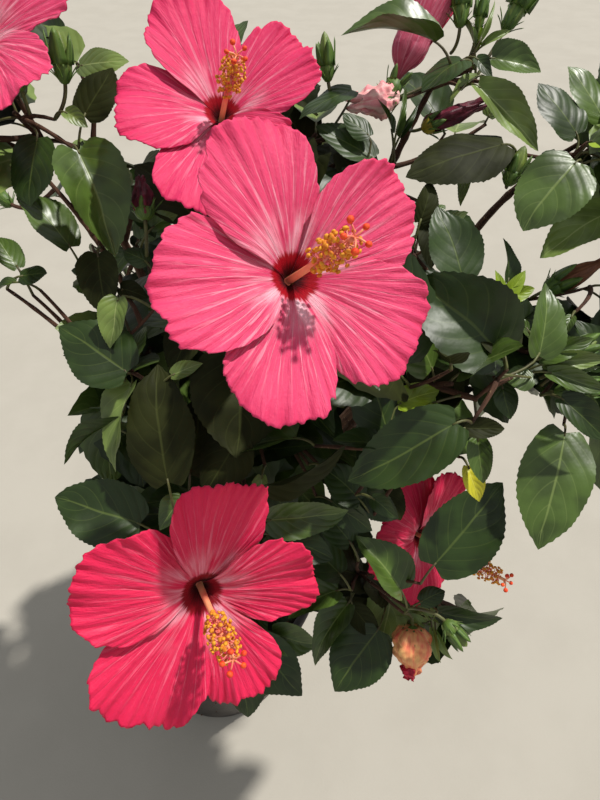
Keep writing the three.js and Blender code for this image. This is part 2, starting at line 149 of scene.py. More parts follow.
def smooth(value: Array | float, low: float, high: float) -> Array:
    """A soft step from 0 at low to 1 at high."""
    share = np.clip((np.asarray(value, float) - low) / (high - low), 0, 1)
    return share * share * (3 - 2 * share)


def distances(line: Array) -> Array:
    """How far each point lies along a line from its first one."""
    return np.concatenate([[0], np.cumsum(np.linalg.norm(np.diff(line, axis=0), axis=1))])


def linear(red: int, green: int, blue: int) -> tuple[float, ...]:
    """A screen colour of 0 to 255 as the linear colour that a shader takes."""
    shares = [value / 255 for value in (red, green, blue)]
    return *(s / 12.92 if s <= 0.04045 else ((s + 0.055) / 1.055) ** 2.4 for s in shares), 1.0


class Seeded:
    """Numbers from 0 to 1 that repeat for the same seed, drawn as the solids' source draws them."""

    def __init__(self, seed: int) -> None:
        """Starts the row of numbers at a seed."""
        self._state = seed & MASK

    def draw(self) -> float:
        """Draws a number.

        Returns:
            The next one, from 0 to 1.
        """
        self._state = (self._state + 0x6D2B79F5) & MASK
        state = self._state
        mixed = ((state ^ (state >> 15)) * (state | 1)) & MASK
        step = ((mixed ^ (mixed >> 7)) * (mixed | 61)) & MASK
        mixed = ((mixed + step) & MASK) ^ mixed
        return (mixed ^ (mixed >> 14)) / 4294967296

    def between(self, low: float, high: float) -> float:
        """The next number, spread from low to high."""
        return low + (high - low) * self.draw()


@dataclass(eq=False)
class Shoot:
    """A limb's line: a curve that leaves a point along a heading and bends towards its tip."""

    start: Array
    middle: Array
    tip: Array

    @classmethod
    def towards(cls, start: Array, heading: Array, tip: Array) -> Shoot:
        """The curve that leaves along a unit heading, with a handle of half the straight distance."""
        return cls(start, start + heading * size_of(tip - start) * 0.5, tip)

    def _raw(self, t: Array) -> Array:
        """Points at plain curve parameters."""
        t = np.atleast_1d(t)[:, None]
        return (1 - t) ** 2 * self.start + 2 * (1 - t) * t * self.middle + t * t * self.tip

    @cached_property
    def _lengths(self) -> Array:
        """Length along the curve at even parameters."""
        return distances(self._raw(np.linspace(0, 1, CURVE_STEPS)))

    @property
    def length(self) -> float:
        """Length of the whole curve."""
        return float(self._lengths[-1])

    def _parameter(self, share: Array | float) -> Array:
        """Curve parameters at shares of the length."""
        return np.interp(np.atleast_1d(share) * self.length, self._lengths, np.linspace(0, 1, CURVE_STEPS))

    def points(self, shares: Array) -> Array:
        """Points at shares of the length, one row each."""
        return self._raw(self._parameter(shares))

    def at(self, share: float) -> Array:
        """The point at a share of the length."""
        return self.points(np.array([share]))[0]

    def tangent(self, share: float) -> Array:
        """The unit heading at a share of the length."""
        t = float(self._parameter(share)[0])
        return unit(2 * (1 - t) * (self.middle - self.start) + 2 * t * (self.tip - self.middle))

    def after_start(self, count: int) -> Array:
        """Even points along the curve, its start left out."""
        return self.points(np.arange(1, count + 1) / count)


@dataclass(eq=False)
class Limb:
    """A tapering limb along its line, with a flare at the foot where it has one."""

    shoot: Shoot
    foot: float
    tip: float
    flare: float = 0.0
    flare_height: float = 1.0
    cut: float = 1.0

    def radius(self, share: float) -> float:
        """The limb's radius at a share of its length."""
        flared = self.flare * max(0.0, 1 - share / self.flare_height) ** 2
        return self.foot + (self.tip - self.foot) * share + flared

    def radii(self, shares: Array) -> Array:
        """The limb's radii at shares of its length."""
        return np.array([self.radius(share) for share in shares])

    def posts(self) -> tuple[Array, Array]:
        """Spheres along the limb, for telling what is clear of it.

        Returns:
            Their middles and their radii.
        """
        half = self.shoot.length / len(POSTS[1:]) / 2
        radii = np.array([math.hypot(radius + CLEAR_LIMB, half) for radius in self.radii(POSTS)])
        return self.shoot.points(POSTS), radii


@dataclass(frozen=True)
class Bough:
    """A bough and its mass of foliage.

    It has the limb it leaves and how far along that is, its tip and its radii at foot and tip. Its mass has
    the middle of its space, its leader's tip and its seed.
    """

    name: str
    parent: str
    at: float
    tip: Triple
    foot_radius: float
    tip_radius: float
    middle: Triple
    leader_tip: Triple
    seed: int


BOUGHS = tuple(Bough(*row) for row in (
    ("centre", "trunk", 1, (96, -22, 690), 10, 5.2, (140, -128, 780), (132, -150, 880), 11),
    ("right", "trunk", 0.86, (228, -38, 728), 8.6, 4.8, (352, -122, 815), (356, -122, 842), 24),
    ("front_right", "trunk", 0.66, (196, -128, 590), 7, 4.2, (262, -205, 610), (282, -214, 604), 33),
    ("left", "trunk", 0.56, (2, -56, 690), 6.6, 4.2, (-8, -112, 800), (-24, -138, 856), 44),
    ("front_left", "trunk", 0.34, (22, -92, 560), 6.4, 4.2, (30, -178, 680), (42, -224, 728), 55),
    ("back", "trunk", 0.46, (92, 150, 690), 6.6, 4.4, (108, 196, 780), (112, 214, 838), 66),
    ("back_left", "trunk", 0.74, (-44, 88, 716), 6.6, 4.4, (-104, 112, 830), (-128, 124, 890), 77),
    ("back_right", "right", 0.3, (196, 112, 716), 5.8, 4.2, (262, 172, 790), (282, 186, 842), 88),
    ("upper_right", "right", 0.62, (292, 22, 836), 5.4, 4, (362, 34, 915), (384, 34, 948), 99),
    ("right_centre", "right", 0.46, (196, -84, 726), 5.2, 4, (240, -150, 820), (252, -172, 862), 113),
    ("top", "centre", 0.72, (206, 58, 850), 5.2, 4, (256, 68, 960), (268, 70, 1004), 121),
    ("top_centre", "centre", 0.56, (112, 40, 830), 5.4, 4, (122, 24, 930), (128, 14, 966), 132),
    ("upper_left", "centre", 0.34, (-4, 10, 826), 5.6, 4, (-40, -8, 930), (-66, -16, 990), 143),
    ("low_front", "trunk", 0.22, (46, -58, 420), 5.4, 4, (70, -112, 480), (84, -128, 500), 154),
    ("low_back", "trunk", 0.28, (34, 112, 500), 5.6, 4, (52, 160, 590), (46, 176, 614), 165),
    ("low_right", "trunk", 0.5, (136, 62, 536), 5.6, 4, (200, 76, 596), (214, 84, 612), 176),
))
FOLIAGE_NODES = tuple(f"foliage_{bough.name}" for bough in BOUGHS)
LIMB_NODES = ("trunk", *(f"bough_{bough.name}" for bough in BOUGHS))


class Slot(Enum):
    """The record's material slots."""

    POT = "pot"
    SOIL = "soil"
    BARK = "bark"
    FOLIAGE = "foliage"
    BLOOM = "bloom"


class LeafKind(Enum):
    """The leaf colours that are dealt out by spray: shade, dark, mid and lit are one green at steps of
    painted light, from painted shade to painted sunlight; young and yellow are the leaves' own colours.
    """

    SHADE = "shade"
    DARK = "dark"
    MID = "mid"
    LIT = "lit"
    YOUNG = "young"
    YELLOW = "yellow"


class BloomTint(Enum):
    """The petal colours on the shrub."""

    PINK = "pink"
    ROSE = "rose"
    CRIMSON = "crimson"


# Mesh making


def shown(name: str, data: bpy.types.ID) -> Thing:
    """An object of this data, in the scene.

    Args:
        name: the object's name.
        data: its mesh, light or camera.

    Returns:
        The object, at the origin.
    """
    made = bpy.data.objects.new(name, data)
    bpy.context.scene.collection.objects.link(made)
    return made


@dataclass
class Soup:
    """Vertices, faces and face corners' UVs gathered from many small shapes, for one joined mesh."""

    points: list[Array] = field(default_factory=list)
    faces: Faces = field(default_factory=list)
    uvs: list[tuple[float, float]] = field(default_factory=list)
    count: int = 0

    def add(self, points: Array, faces: Faces, uv: Array | None = None) -> Soup:
        """Adds one shape.

        Args:
            points: its vertices in millimetres, one row each.
            faces: its faces as tuples of row numbers.
            uv: a UV for each vertex, or None.

        Returns:
            The soup.
        """
        self.points.append(np.asarray(points, float))
        for face in faces:
            self.faces.append(tuple(index + self.count for index in face))
            for index in face:
                self.uvs.append((0.0, 0.0) if uv is None else (float(uv[index][0]), float(uv[index][1])))
        self.count += len(points)
        return self

    def tube(self, line: Array, radii: Array, sides: int, relief: Array | float = 0.0) -> Soup:
        """Adds a closed round tube.

        Args:
            line: the points that it follows.
            radii: its radius at each point.
            sides: faces round it.
            relief: what is added to the radius, by point and side.

        Returns:
            The soup.
        """
        first, second = tube_frames(line)
        angles = np.arange(sides) / sides * FULL_TURN
        reach = np.repeat(radii[:, None], sides, axis=1) + relief
        cosine, sine = np.cos(angles)[None, :, None], np.sin(angles)[None, :, None]
        ring = first[:, None, :] * cosine + second[:, None, :] * sine
        grid = line[:, None, :] + ring * reach[:, :, None]
        points = np.concatenate([grid.reshape(-1, 3), line[:1], line[-1:]])
        return self.add(points, tube_faces(len(line), sides), tube_uv(sides, distances(line) / 20))

    def lathe(self, profile: list[tuple[float, float]], sides: int, place: Matrix = AT_ORIGIN,
              wobble: float = 0.0) -> Soup:
        """Adds a turned shape whose profile starts and ends on the axis.

        Args:
            profile: radius and height pairs, from the lower pole to the upper one.
            sides: faces round it.
            place: where it goes.
            wobble: how far its ring is pulled out of round, as a share of the radius.

        Returns:
            The soup.
        """
        angles = np.arange(sides) / sides * FULL_TURN
        uneven = 1 + wobble * np.cos(3 * angles + 0.7)
        inner = profile[1:-1]
        points = [(radius * bend * math.cos(a), radius * bend * math.sin(a), height)
                  for radius, height in inner for a, bend in zip(angles, uneven)]
        points += [(0.0, 0.0, profile[0][1]), (0.0, 0.0, profile[-1][1])]
        uv = tube_uv(sides, np.arange(len(inner)) / len(inner))
        uv[-2:] = (0.5, 0.0), (0.5, 1.0)
        return self.add(placed(np.array(points), place), tube_faces(len(inner), sides), uv)

    def piece(self, name: str, material: Material) -> Thing:
        """Makes one mesh object of all that was added.

        Args:
            name: the piece's name.
            material: its material.

        Returns:
            The object, at the origin.
        """
        mesh = bpy.data.meshes.new(name)
        mesh.from_pydata((np.concatenate(self.points) * MM).tolist(), [], self.faces)
        layer = mesh.uv_layers.new(name="UVMap")
        layer.data.foreach_set("uv", np.array(self.uvs, np.float32).ravel())
        mesh.polygons.foreach_set("use_smooth", [True] * len(mesh.polygons))
        mesh.materials.append(material)
        mesh.update()
        return shown(name, mesh)


def tube_faces(rows: int, sides: int) -> Faces:
    """Faces of a closed tube whose points are its rows, then the pole before them and the pole after them.

    Args:
        rows: rows of points.
        sides: points in a row.

    Returns:
        The faces, as tuples of point numbers.
    """
    faces: Faces = []
    first, last = rows * sides, (rows - 1) * sides
    for j in range(sides):
        k = (j + 1) % sides
        faces += [(first, k, j), (first + 1, last + j, last + k)]
        faces += [(i + j, i + k, i + sides + k, i + sides + j) for i in range(0, last, sides)]
    return faces


def tube_uv(sides: int, runs: Array) -> Array:
    """UVs of a closed tube: round it from 0 to 1, along it as given for each row.

    Args:
        sides: points in a row.
        runs: the second number of each row.

    Returns:
        The UVs, with two zero rows for the poles.
    """
    uv = np.zeros((len(runs) * sides + 2, 2))
    uv[:-2, 0] = np.tile(np.arange(sides) / sides, len(runs))
    uv[:-2, 1] = np.repeat(runs, sides)
    return uv


def tube_frames(line: Array) -> tuple[Array, Array]:
    """Two directions square to a line at each of its points, carried along without twist.

    Args:
        line: the points.

    Returns:
        The first and the second directions.
    """
    tangents = np.gradient(line, axis=0)
    tangents /= np.maximum(np.linalg.norm(tangents, axis=1)[:, None], 1e-9)
    first = [sideways(tangents[0], 0.0)]
    for tangent in tangents[1:]:
        first.append(unit(first[-1] - tangent * float(first[-1] @ tangent)))
    return np.array(first), np.cross(tangents, np.array(first))


def placed(points: Array, place: Matrix) -> Array:
    """Points moved by a four by four placing."""
    return points @ np.array(place.to_3x3()).T + np.array(place.translation)


def basis(along: Array, normal: Array) -> Matrix:
    """The turn that takes +Y to a direction and +Z as near as it can to a normal."""
    ahead, across = unit(along), unit(np.cross(unit(along), normal))
    return Matrix(np.stack([across, ahead, np.cross(across, ahead)], axis=1).tolist())


def upright(heading: Array, origin: Array, spin: float = 0.0) -> Matrix:
    """The placing that takes +Z to a heading, with a spin in radians, and the origin to a point."""
    turn = Vector(unit(heading)).to_track_quat("Z", "Y").to_matrix() @ Matrix.Rotation(spin, 3, "Z")
    return Matrix.Translation(Vector(origin)) @ turn.to_4x4()


# Shading


class NodeTree:
    """A tree of nodes being built, with a short call for its nodes and links."""

    tree: Tree

    def node(self, kind: str, inputs: dict[int | str, object], **settings: object) -> bpy.types.Node:
        """Adds a node, sets its properties and fills its inputs.

        Args:
            kind: the node's type.
            inputs: a socket or a plain value for each input, by its number or its name.
            settings: the properties to set.

        Returns:
            The node.
        """
        made = self.tree.nodes.new(kind)
        for name, value in settings.items():
            setattr(made, name, value)
        for key, value in inputs.items():
            if isinstance(value, Socket):
                self.tree.links.new(value, made.inputs[key])
            else:
                made.inputs[key].default_value = value
        return made


class Shader(NodeTree):
    """A material being built."""

    def __init__(self, name: str) -> None:
        """Starts a material with one main shader.

        Args:
            name: the material's name.
        """
        self.material = bpy.data.materials.new(name)
        self.material.use_nodes = True
        self.tree = self.material.node_tree
        self.main = self.tree.nodes["Principled BSDF"]

    def done(self, colour: Socket, **values: float | Triple) -> Material:
        """Sends the colour to the main shader and sets its own sockets.

        Args:
            colour: the base colour.
            values: the other sockets' values, with _ for each space in a name.

        Returns:
            The material.
        """
        self.tree.links.new(colour, self.main.inputs["Base Color"])
        for name, value in values.items():
            self.main.inputs[name.replace("_", " ")].default_value = value
        return self.material

    def place(self) -> Socket:
        """The place on the piece, in metres."""
        return self.node("ShaderNodeTexCoord", {}).outputs["Object"]

    def uv(self) -> tuple[Socket, Socket]:
        """The piece's own UV, as its two numbers."""
        source = self.node("ShaderNodeUVMap", {}, uv_map="UVMap")
        return tuple(self.node("ShaderNodeSeparateXYZ", {0: source.outputs["UV"]}).outputs[:2])

    def grain(self, vector: Socket, scale: float, detail: float = 3.0, rough: float = 0.6) -> Socket:
        """A cloudy pattern from 0 to 1 of some scale, with finer layers and how strong those are."""
        inputs = {"Vector": vector, "Scale": scale, "Detail": detail, "Roughness": rough}
        return self.node("ShaderNodeTexNoise", inputs).outputs["Fac"]

    def math(self, operation: str, first: Socket | float, second: Socket | float = 0.0) -> Socket:
        """One sum on values or sockets."""
        return self.node("ShaderNodeMath", {0: first, 1: second}, operation=operation).outputs[0]

    def times(self, first: Socket | float, second: Socket | float) -> Socket:
        """Two values or sockets multiplied."""
        return self.math("MULTIPLY", first, second)

    def plus(self, first: Socket | float, second: Socket | float) -> Socket:
        """Two values or sockets added."""
        return self.math("ADD", first, second)

    def minus(self, first: Socket | float, second: Socket | float) -> Socket:
        """The first value or socket less the second."""
        return self.math("SUBTRACT", first, second)

    def off(self, value: Socket) -> Socket:
        """How far a value is from a half."""
        return self.math("ABSOLUTE", self.minus(value, 0.5))

    def ramp(self, factor: Socket, *stops: tuple[float, tuple[float, ...]]) -> Socket:
        """Colours along a value.

        Args:
            factor: the value.
            stops: each stop's place and colour.

        Returns:
            The colour.
        """
        made = self.node("ShaderNodeValToRGB", {"Fac": factor})
        band = made.color_ramp
        while len(band.elements) < len(stops):
            band.elements.new(0.5)
        for element, (place, colour) in zip(band.elements, stops):
            element.position = place
            element.color = colour
        return made.outputs["Color"]

    def level(self, factor: Socket, low: float, high: float) -> Socket:
        """A value stretched so that low gives 0 and high gives 1, and held there."""
        inputs = {"Value": factor, "From Min": low, "From Max": high}
        return self.node("ShaderNodeMapRange", inputs, interpolation_type="SMOOTHSTEP").outputs["Result"]

    def mix(self, factor: Socket | float, first: object, second: object) -> Socket:
        """Two colours, or sockets of them, mixed by a value."""
        return self.node("ShaderNodeMix", {0: factor, 6: first, 7: second}, data_type="RGBA").outputs[2]

    def stretched(self, across: Socket, along: Socket, wide: float, far: float,
                  apart: Socket | float = 0.0) -> Socket:
        """A UV's two numbers multiplied each by its own factor, as a vector, with a third number."""
        flat = {0: self.times(across, wide), 1: self.times(along, far), 2: apart}
        return self.node("ShaderNodeCombineXYZ", flat).outputs[0]

    def bump(self, height: Socket, strength: float, distance: float) -> None:
        """Raises the surface by a height, in metres."""
        made = self.node("ShaderNodeBump", {"Strength": strength, "Distance": distance, "Height": height})
        self.tree.links.new(made.outputs["Normal"], self.main.inputs["Normal"])


@dataclass(frozen=True)
class PetalFinish:
    """A petal: dark eye with painted shade at its throat, pale halo, pale veins that fan out, fine radial
    wrinkles, painted shade along its folds.
    """

    name: str
    body: Triple
    edge: Triple
    halo: Triple
    eye: Triple
    vein: Triple
    back: Triple

    def material(self) -> Material:
        """The petals' material.

        The UV's first number runs across each petal and has 2 added on its back. The second runs along it and
        has 2 added for each petal before it, which sets one petal's pattern apart from the next.

        Returns:
            The material.
        """
        shader = Shader(self.name)
        # dark is the throat's near black: the eye's own deep red with painted shade of the throat.
        body, edge, pale_end, eye, vein, back, dark = (linear(*colour) for colour in (
            self.body, self.edge, self.halo, self.eye, self.vein, self.back, (64, 2, 10)))
        across, coded = shader.uv()
        number = shader.math("FLOOR", shader.times(coded, 0.5))
        along = shader.minus(coded, shader.times(number, 2.0))
        apart = shader.times(number, 7.3)
        streak = shader.grain(shader.stretched(across, along, 22.0, 1.4, apart), 1.0)
        patch = shader.grain(shader.stretched(across, along, 5.0, 2.2, apart), 1.0, 2.0, 0.5)
        reach = shader.plus(along, shader.times(shader.minus(streak, 0.5), 0.1))
        ground = shader.ramp(reach, (0.0, dark), (0.07, dark), (0.125, eye), (0.16, eye), (0.185, body),
                             (1.0, body))
        halo = shader.times(shader.level(reach, 0.15, 0.19), shader.level(reach, 0.52, 0.18))
        pale = shader.times(halo, shader.level(patch, 0.36, 0.68))
        haloed = shader.mix(shader.times(pale, shader.level(streak, 0.24, 0.52)), ground, pale_end)
        veins = self._veins(shader, across, along, streak)
        veined = shader.mix(veins, haloed, vein)
        # Painted shade along the petal's folds, in the edge colour.
        fold_shade = shader.times(shader.level(streak, 0.5, 0.72), shader.level(along, 0.2, 0.6))
        folded = shader.mix(shader.times(fold_shade, 0.22), veined, edge)
        edged = shader.mix(shader.times(shader.level(along, 0.84, 1.02), 0.35), folded, edge)
        behind = shader.times(shader.level(across, 1.4, 1.6), 0.86)
        backed = shader.mix(shader.times(shader.level(streak, 0.44, 0.7), 0.4), back, pale_end)
        crinkle = shader.grain(shader.place(), 300.0, 4.0, 0.7)
        ridges = shader.grain(shader.stretched(across, along, 62.0, 6.0, apart), 1.0)
        height = shader.plus(ridges, shader.times(crinkle, 0.5))
        shader.bump(shader.minus(height, shader.times(veins, 0.5)), 0.75, 0.0012)
        return shader.done(shader.mix(behind, edged, backed), Roughness=0.55, Specular_IOR_Level=0.2,
                           Subsurface_Weight=0.1, Subsurface_Radius=(1.0, 0.3, 0.3), Subsurface_Scale=0.003)

    def _veins(self, shader: Shader, across: Socket, along: Socket, streak: Socket) -> Socket:
        """Main veins that fan out from the eye and finer ones between them farther out.

        Args:
            shader: the material being built.
            across: the place across the petal.
            along: the place along the petal.
            streak: a pattern that makes the veins wander.

        Returns:
            How much of the vein's colour shows.
        """
        wander = shader.plus(across, shader.times(shader.minus(streak, 0.5), 0.09))
        found = []
        for count, start, weight in ((13.0, 0.16, 0.42), (29.0, 0.34, 0.2)):
            line = shader.level(shader.off(shader.math("FRACT", shader.times(wander, count))), 0.08, 0.02)
            bare = shader.times(shader.level(along, start, start + 0.08), shader.level(along, 0.98, 0.5))
            found.append(shader.times(shader.times(line, bare), weight))
        return shader.math("MAXIMUM", *found)


@dataclass(frozen=True)
class LeafFinish:
    """A glossy leaf: a plain green, which in the shade, dark, mid and lit kinds carries painted shade or
    painted light, paler midrib, sunken side veins.
    """

    name: str
    blade: Triple
    rib: Triple
    roughness: float
    gloss: float = 0.5

    def material(self) -> Material:
        """The leaf's material. The UV's first number is 0.5 on the midrib, its second runs from base to tip.

        Returns:
            The material.
        """
        shader = Shader(self.name)
        blade, rib = linear(*self.blade), linear(*self.rib)
        across, along = shader.uv()
        off = shader.off(across)
        midrib = shader.level(off, 0.026, 0.006)
        bend = shader.times(shader.math("POWER", off, 1.25), 5.4)
        run = shader.minus(shader.times(shader.math("POWER", along, 0.85), 5.2), bend)
        saw = shader.off(shader.math("FRACT", run))
        side_vein = shader.times(shader.level(saw, 0.06, 0.01), shader.level(off, 0.5, 0.3))
        cloud = shader.grain(shader.place(), 42.0, 2.0, 0.5)
        dim = tuple(channel * 0.55 for channel in blade[:3]) + (1.0,)
        ground = shader.mix(shader.level(cloud, 0.36, 0.66), blade, dim)
        lined = shader.mix(shader.times(side_vein, 0.22), ground, rib)
        height = shader.minus(shader.times(shader.level(saw, 0.0, 0.42), 0.8), shader.times(midrib, 0.6))
        pucker = shader.times(shader.grain(shader.place(), 130.0, 2.0, 0.5), 1.1)
        shader.bump(shader.plus(height, pucker), 0.24, 0.001)
        return shader.done(shader.mix(shader.times(midrib, 0.55), lined, rib), Roughness=self.roughness,
                           Specular_IOR_Level=self.gloss)


@dataclass(frozen=True)
class MottledFinish:
    """A plain colour with mottling and a fine grain, for stems, buds, column, pot and the like."""

    name: str
    light: Triple
    dark: Triple
    scale: float
    roughness: float
    grain: float = 900.0
    depth: float = 0.0003
    streaks: float = 0.0

    def material(self) -> Material:
        """The mottled material. With streaks, the mottling is drawn out round the piece's UV.

        Returns:
            The material.
        """
        shader = Shader(self.name)
        place = shader.place()
        tone = shader.level(shader.grain(place, self.scale, 4.0), 0.34, 0.66)
        if self.streaks:
            drawn = shader.stretched(*shader.uv(), self.streaks, 1.2)
            lines = shader.level(shader.grain(drawn, 1.0), 0.36, 0.64)
            tone = shader.plus(shader.times(tone, 0.35), shader.times(lines, 0.65))
        shader.bump(shader.grain(place, self.grain), 0.6, self.depth)
        colour = shader.mix(tone, linear(*self.dark), linear(*self.light))
        return shader.done(colour, Roughness=self.roughness, Specular_IOR_Level=0.4)


@dataclass(frozen=True)
class BarkFinish:
    """Brown bark with furrows along the limb and pale lenticels."""

    name: str
    ridge: Triple
    furrow: Triple
    fleck: Triple

    def material(self) -> Material:
        """The bark's material. The furrows follow the limb's own UV.

        Returns:
            The material.
        """
        shader = Shader(self.name)
        place = shader.place()
        furrow = shader.grain(shader.stretched(*shader.uv(), 14.0, 1.4), 1.0, 4.0, 0.62)
        cloud = shader.grain(place, 30.0, 4.0)
        tone = shader.plus(shader.times(furrow, 0.6), shader.times(cloud, 0.4))
        ground = shader.mix(shader.level(tone, 0.38, 0.6), linear(*self.furrow), linear(*self.ridge))
        spots = shader.level(shader.grain(place, 420.0, 1.0, 0.4), 0.66, 0.74)
        shader.bump(shader.plus(furrow, shader.times(spots, 0.4)), 0.8, 0.0012)
        return shader.done(shader.mix(shader.times(spots, 0.7), ground, linear(*self.fleck)), Roughness=0.82,
                           Specular_IOR_Level=0.3)


PETAL_FINISHES = {
    BloomTint.PINK: PetalFinish("petal_pink", (224, 70, 112), (206, 38, 88), (255, 206, 218),
                                (166, 6, 28), (255, 192, 206), (206, 84, 120)),
    BloomTint.ROSE: PetalFinish("petal_rose", (220, 54, 102), (196, 26, 76), (255, 198, 212),
                                (160, 6, 28), (255, 166, 188), (208, 84, 112)),
    BloomTint.CRIMSON: PetalFinish("petal_crimson", (224, 40, 84), (204, 18, 66), (255, 184, 200),
                                   (146, 6, 28), (255, 144, 168), (204, 44, 88)),
}
# Shade, dark, mid and lit are one leaf green at steps of painted light: painted shade for leaves inside the
# crown, painted sunlight for the outer ones. Young and yellow are the leaves' own colours.
LEAF_FINISHES = {
    LeafKind.SHADE: LeafFinish("leaf_shade", (44, 48, 20), (70, 76, 38), 0.6, 0.12),
    LeafKind.DARK: LeafFinish("leaf_dark", (45, 65, 23), (92, 108, 50), 0.42, 0.38),
    LeafKind.MID: LeafFinish("leaf_mid", (76, 99, 38), (128, 145, 80), 0.36),
    LeafKind.LIT: LeafFinish("leaf_lit", (116, 137, 66), (164, 176, 112), 0.4),
    LeafKind.YOUNG: LeafFinish("leaf_young", (140, 166, 34), (180, 198, 80), 0.42),
    LeafKind.YELLOW: LeafFinish("leaf_yellow", (196, 190, 40), (214, 208, 96), 0.46),
}
BARK = BarkFinish("bark", (112, 84, 66), (58, 40, 32), (158, 136, 112))
TWIG = BarkFinish("twig_skin", (94, 64, 48), (56, 38, 30), (140, 112, 84))
PETIOLE = MottledFinish("petiole", (96, 100, 54), (72, 64, 40), 70, 0.5)
CALYX = MottledFinish("calyx_skin", (104, 132, 54), (60, 88, 38), 90, 0.5, streaks=16)
BUD = MottledFinish("bud_skin", (122, 140, 62), (76, 92, 44), 80, 0.48, streaks=12)
YELLOWED = MottledFinish("yellowed_calyx", (176, 158, 40), (120, 110, 36), 90, 0.55, streaks=10)
COLUMN_SKIN = MottledFinish("column_skin", (246, 172, 122), (238, 122, 100), 40, 0.42)
FILAMENT = MottledFinish("filament", (246, 168, 140), (236, 120, 120), 200, 0.5)
ANTHER = MottledFinish("anther", (240, 176, 44), (204, 112, 18), 420, 0.62, grain=1800)
STIGMA = MottledFinish("stigma", (250, 92, 30), (216, 44, 20), 500, 0.6, grain=2200)
MAROON_FURL = MottledFinish("furl_maroon", (122, 34, 56), (58, 12, 28), 110, 0.5, streaks=14)
PALE_FURL = MottledFinish("furl_pale", (255, 226, 214), (242, 128, 142), 70, 0.5, streaks=16)
PEACH_FURL = MottledFinish("furl_peach", (244, 196, 124), (222, 84, 74), 60, 0.5, streaks=14)
RED_FURL = MottledFinish("furl_red", (212, 30, 66), (142, 14, 38), 90, 0.5, streaks=10)
BROWN_FURL = MottledFinish("furl_brown", (150, 96, 66), (86, 46, 32), 90, 0.7, streaks=12)
POT_SKIN = MottledFinish("pot_skin", (74, 68, 64), (50, 46, 44), 26, 0.5, grain=1500, depth=0.0002)
COMPOST = MottledFinish("compost", (78, 56, 40), (34, 24, 18), 60, 0.95, grain=420, depth=0.002)
BARK_CHIP = MottledFinish("bark_chip", (112, 78, 52), (58, 38, 26), 160, 0.9, grain=700, depth=0.001)
PERLITE = MottledFinish("perlite", (226, 222, 212), (188, 184, 172), 300, 0.85, grain=900)
STAGE_FLOOR = MottledFinish("stage_floor", (176, 171, 160), (172, 167, 156), 5, 0.9, grain=300, depth=0.0004)


# The view


@dataclass(frozen=True)
class Viewpoint:
    """The camera: looking down at the crown from the front."""

    place: Triple = (145.0, -476.0, 1150.0)
    pitch: float = 45.0
    lens: float = 27.0
    film: float = 36.0
    nearest: float = 1e-3

    @cached_property
    def axes(self) -> tuple[Array, Array, Array]:
        """The directions to the right, up the picture and ahead."""
        sine, cosine = math.sin(self.pitch * DEG), math.cos(self.pitch * DEG)
        return vec(1, 0, 0), vec(0, cosine, sine), vec(0, sine, -cosine)

    @property
    def span(self) -> float:
        """Pixels for a slope of one."""
        return FRAME_HEIGHT * self.lens / self.film

    def seen(self, points: Array) -> tuple[Array, Array, Array]:
        """Where points show in the picture.

        Args:
            points: one row each.

        Returns:
            Pixels across, pixels down and the distance ahead.
        """
        right, up, ahead = self.axes
        offset = np.atleast_2d(points) - vec(*self.place)
        depth = offset @ ahead
        safe = np.maximum(depth, self.nearest)
        across = FRAME_WIDTH / 2 + self.span * (offset @ right) / safe
        return across, FRAME_HEIGHT / 2 - self.span * (offset @ up) / safe, depth

    def point(self, across: float, down: float, depth: float) -> Array:
        """The place behind a pixel, at a distance ahead in millimetres."""
        slopes = (across - FRAME_WIDTH / 2) / self.span, (FRAME_HEIGHT / 2 - down) / self.span
        return vec(*self.place) + depth * (self.axes[2] + slopes[0] * self.axes[0] + slopes[1] * self.axes[1])

    def build(self) -> None:
        """Makes the scene's camera."""
        data = bpy.data.cameras.new("camera")
        data.sensor_fit = "VERTICAL"
        data.sensor_height = self.film
        data.lens = self.lens
        data.clip_start = 0.01
        camera = shown("camera", data)
        camera.location = Vector(vec(*self.place) * MM)
        camera.rotation_euler = (self.pitch * DEG, 0, 0)
        bpy.context.scene.camera = camera


VIEW = Viewpoint()


@dataclass(frozen=True)
class Studio:
    """A pale floor and soft light, the main one from the right and behind the crown."""

    floor_half: float = 9.0
    key_power: float = 3.95
    key_angle: float = 2.2
    key_heading: Triple = (-0.43, -0.15, -0.88)
    key_colour: Triple = (1.0, 0.965, 0.91)
    fill: float = 0.46
    fill_colour: tuple[float, ...] = (0.95, 0.97, 1.0, 1.0)

    def build(self) -> None:
        """Makes the floor, the lights and the surrounding light."""
        half = self.floor_half
        mesh = bpy.data.meshes.new("floor")
        corners = [(-half, -half, 0), (half, -half, 0), (half, half, 0), (-half, half, 0)]
        mesh.from_pydata(corners, [], [(0, 1, 2, 3)])
        mesh.materials.append(STAGE_FLOOR.material())
        shown("floor", mesh)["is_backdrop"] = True
        sun = bpy.data.lights.new("key", "SUN")
        sun.energy = self.key_power
        sun.angle = self.key_angle * DEG
        sun.color = self.key_colour
        shown("key", sun).rotation_euler = Vector(self.key_heading).to_track_quat("-Z", "Y").to_euler()
        world = bpy.data.worlds.new("surround")
        world.use_nodes = True
        background = world.node_tree.nodes["Background"]
        background.inputs["Color"].default_value = self.fill_colour
        background.inputs["Strength"].default_value = self.fill
        bpy.context.scene.world = world
        bpy.context.scene.view_settings.view_transform = "Standard"


# Blooms


@dataclass(frozen=True)
class Petal:
    """One petal: its angle seen from the front, its reach, half its spread at the notches, its tip's lift."""

    angle: float
    reach: float = 1.0
    half: float = 36.0
    lift: float = 0.0


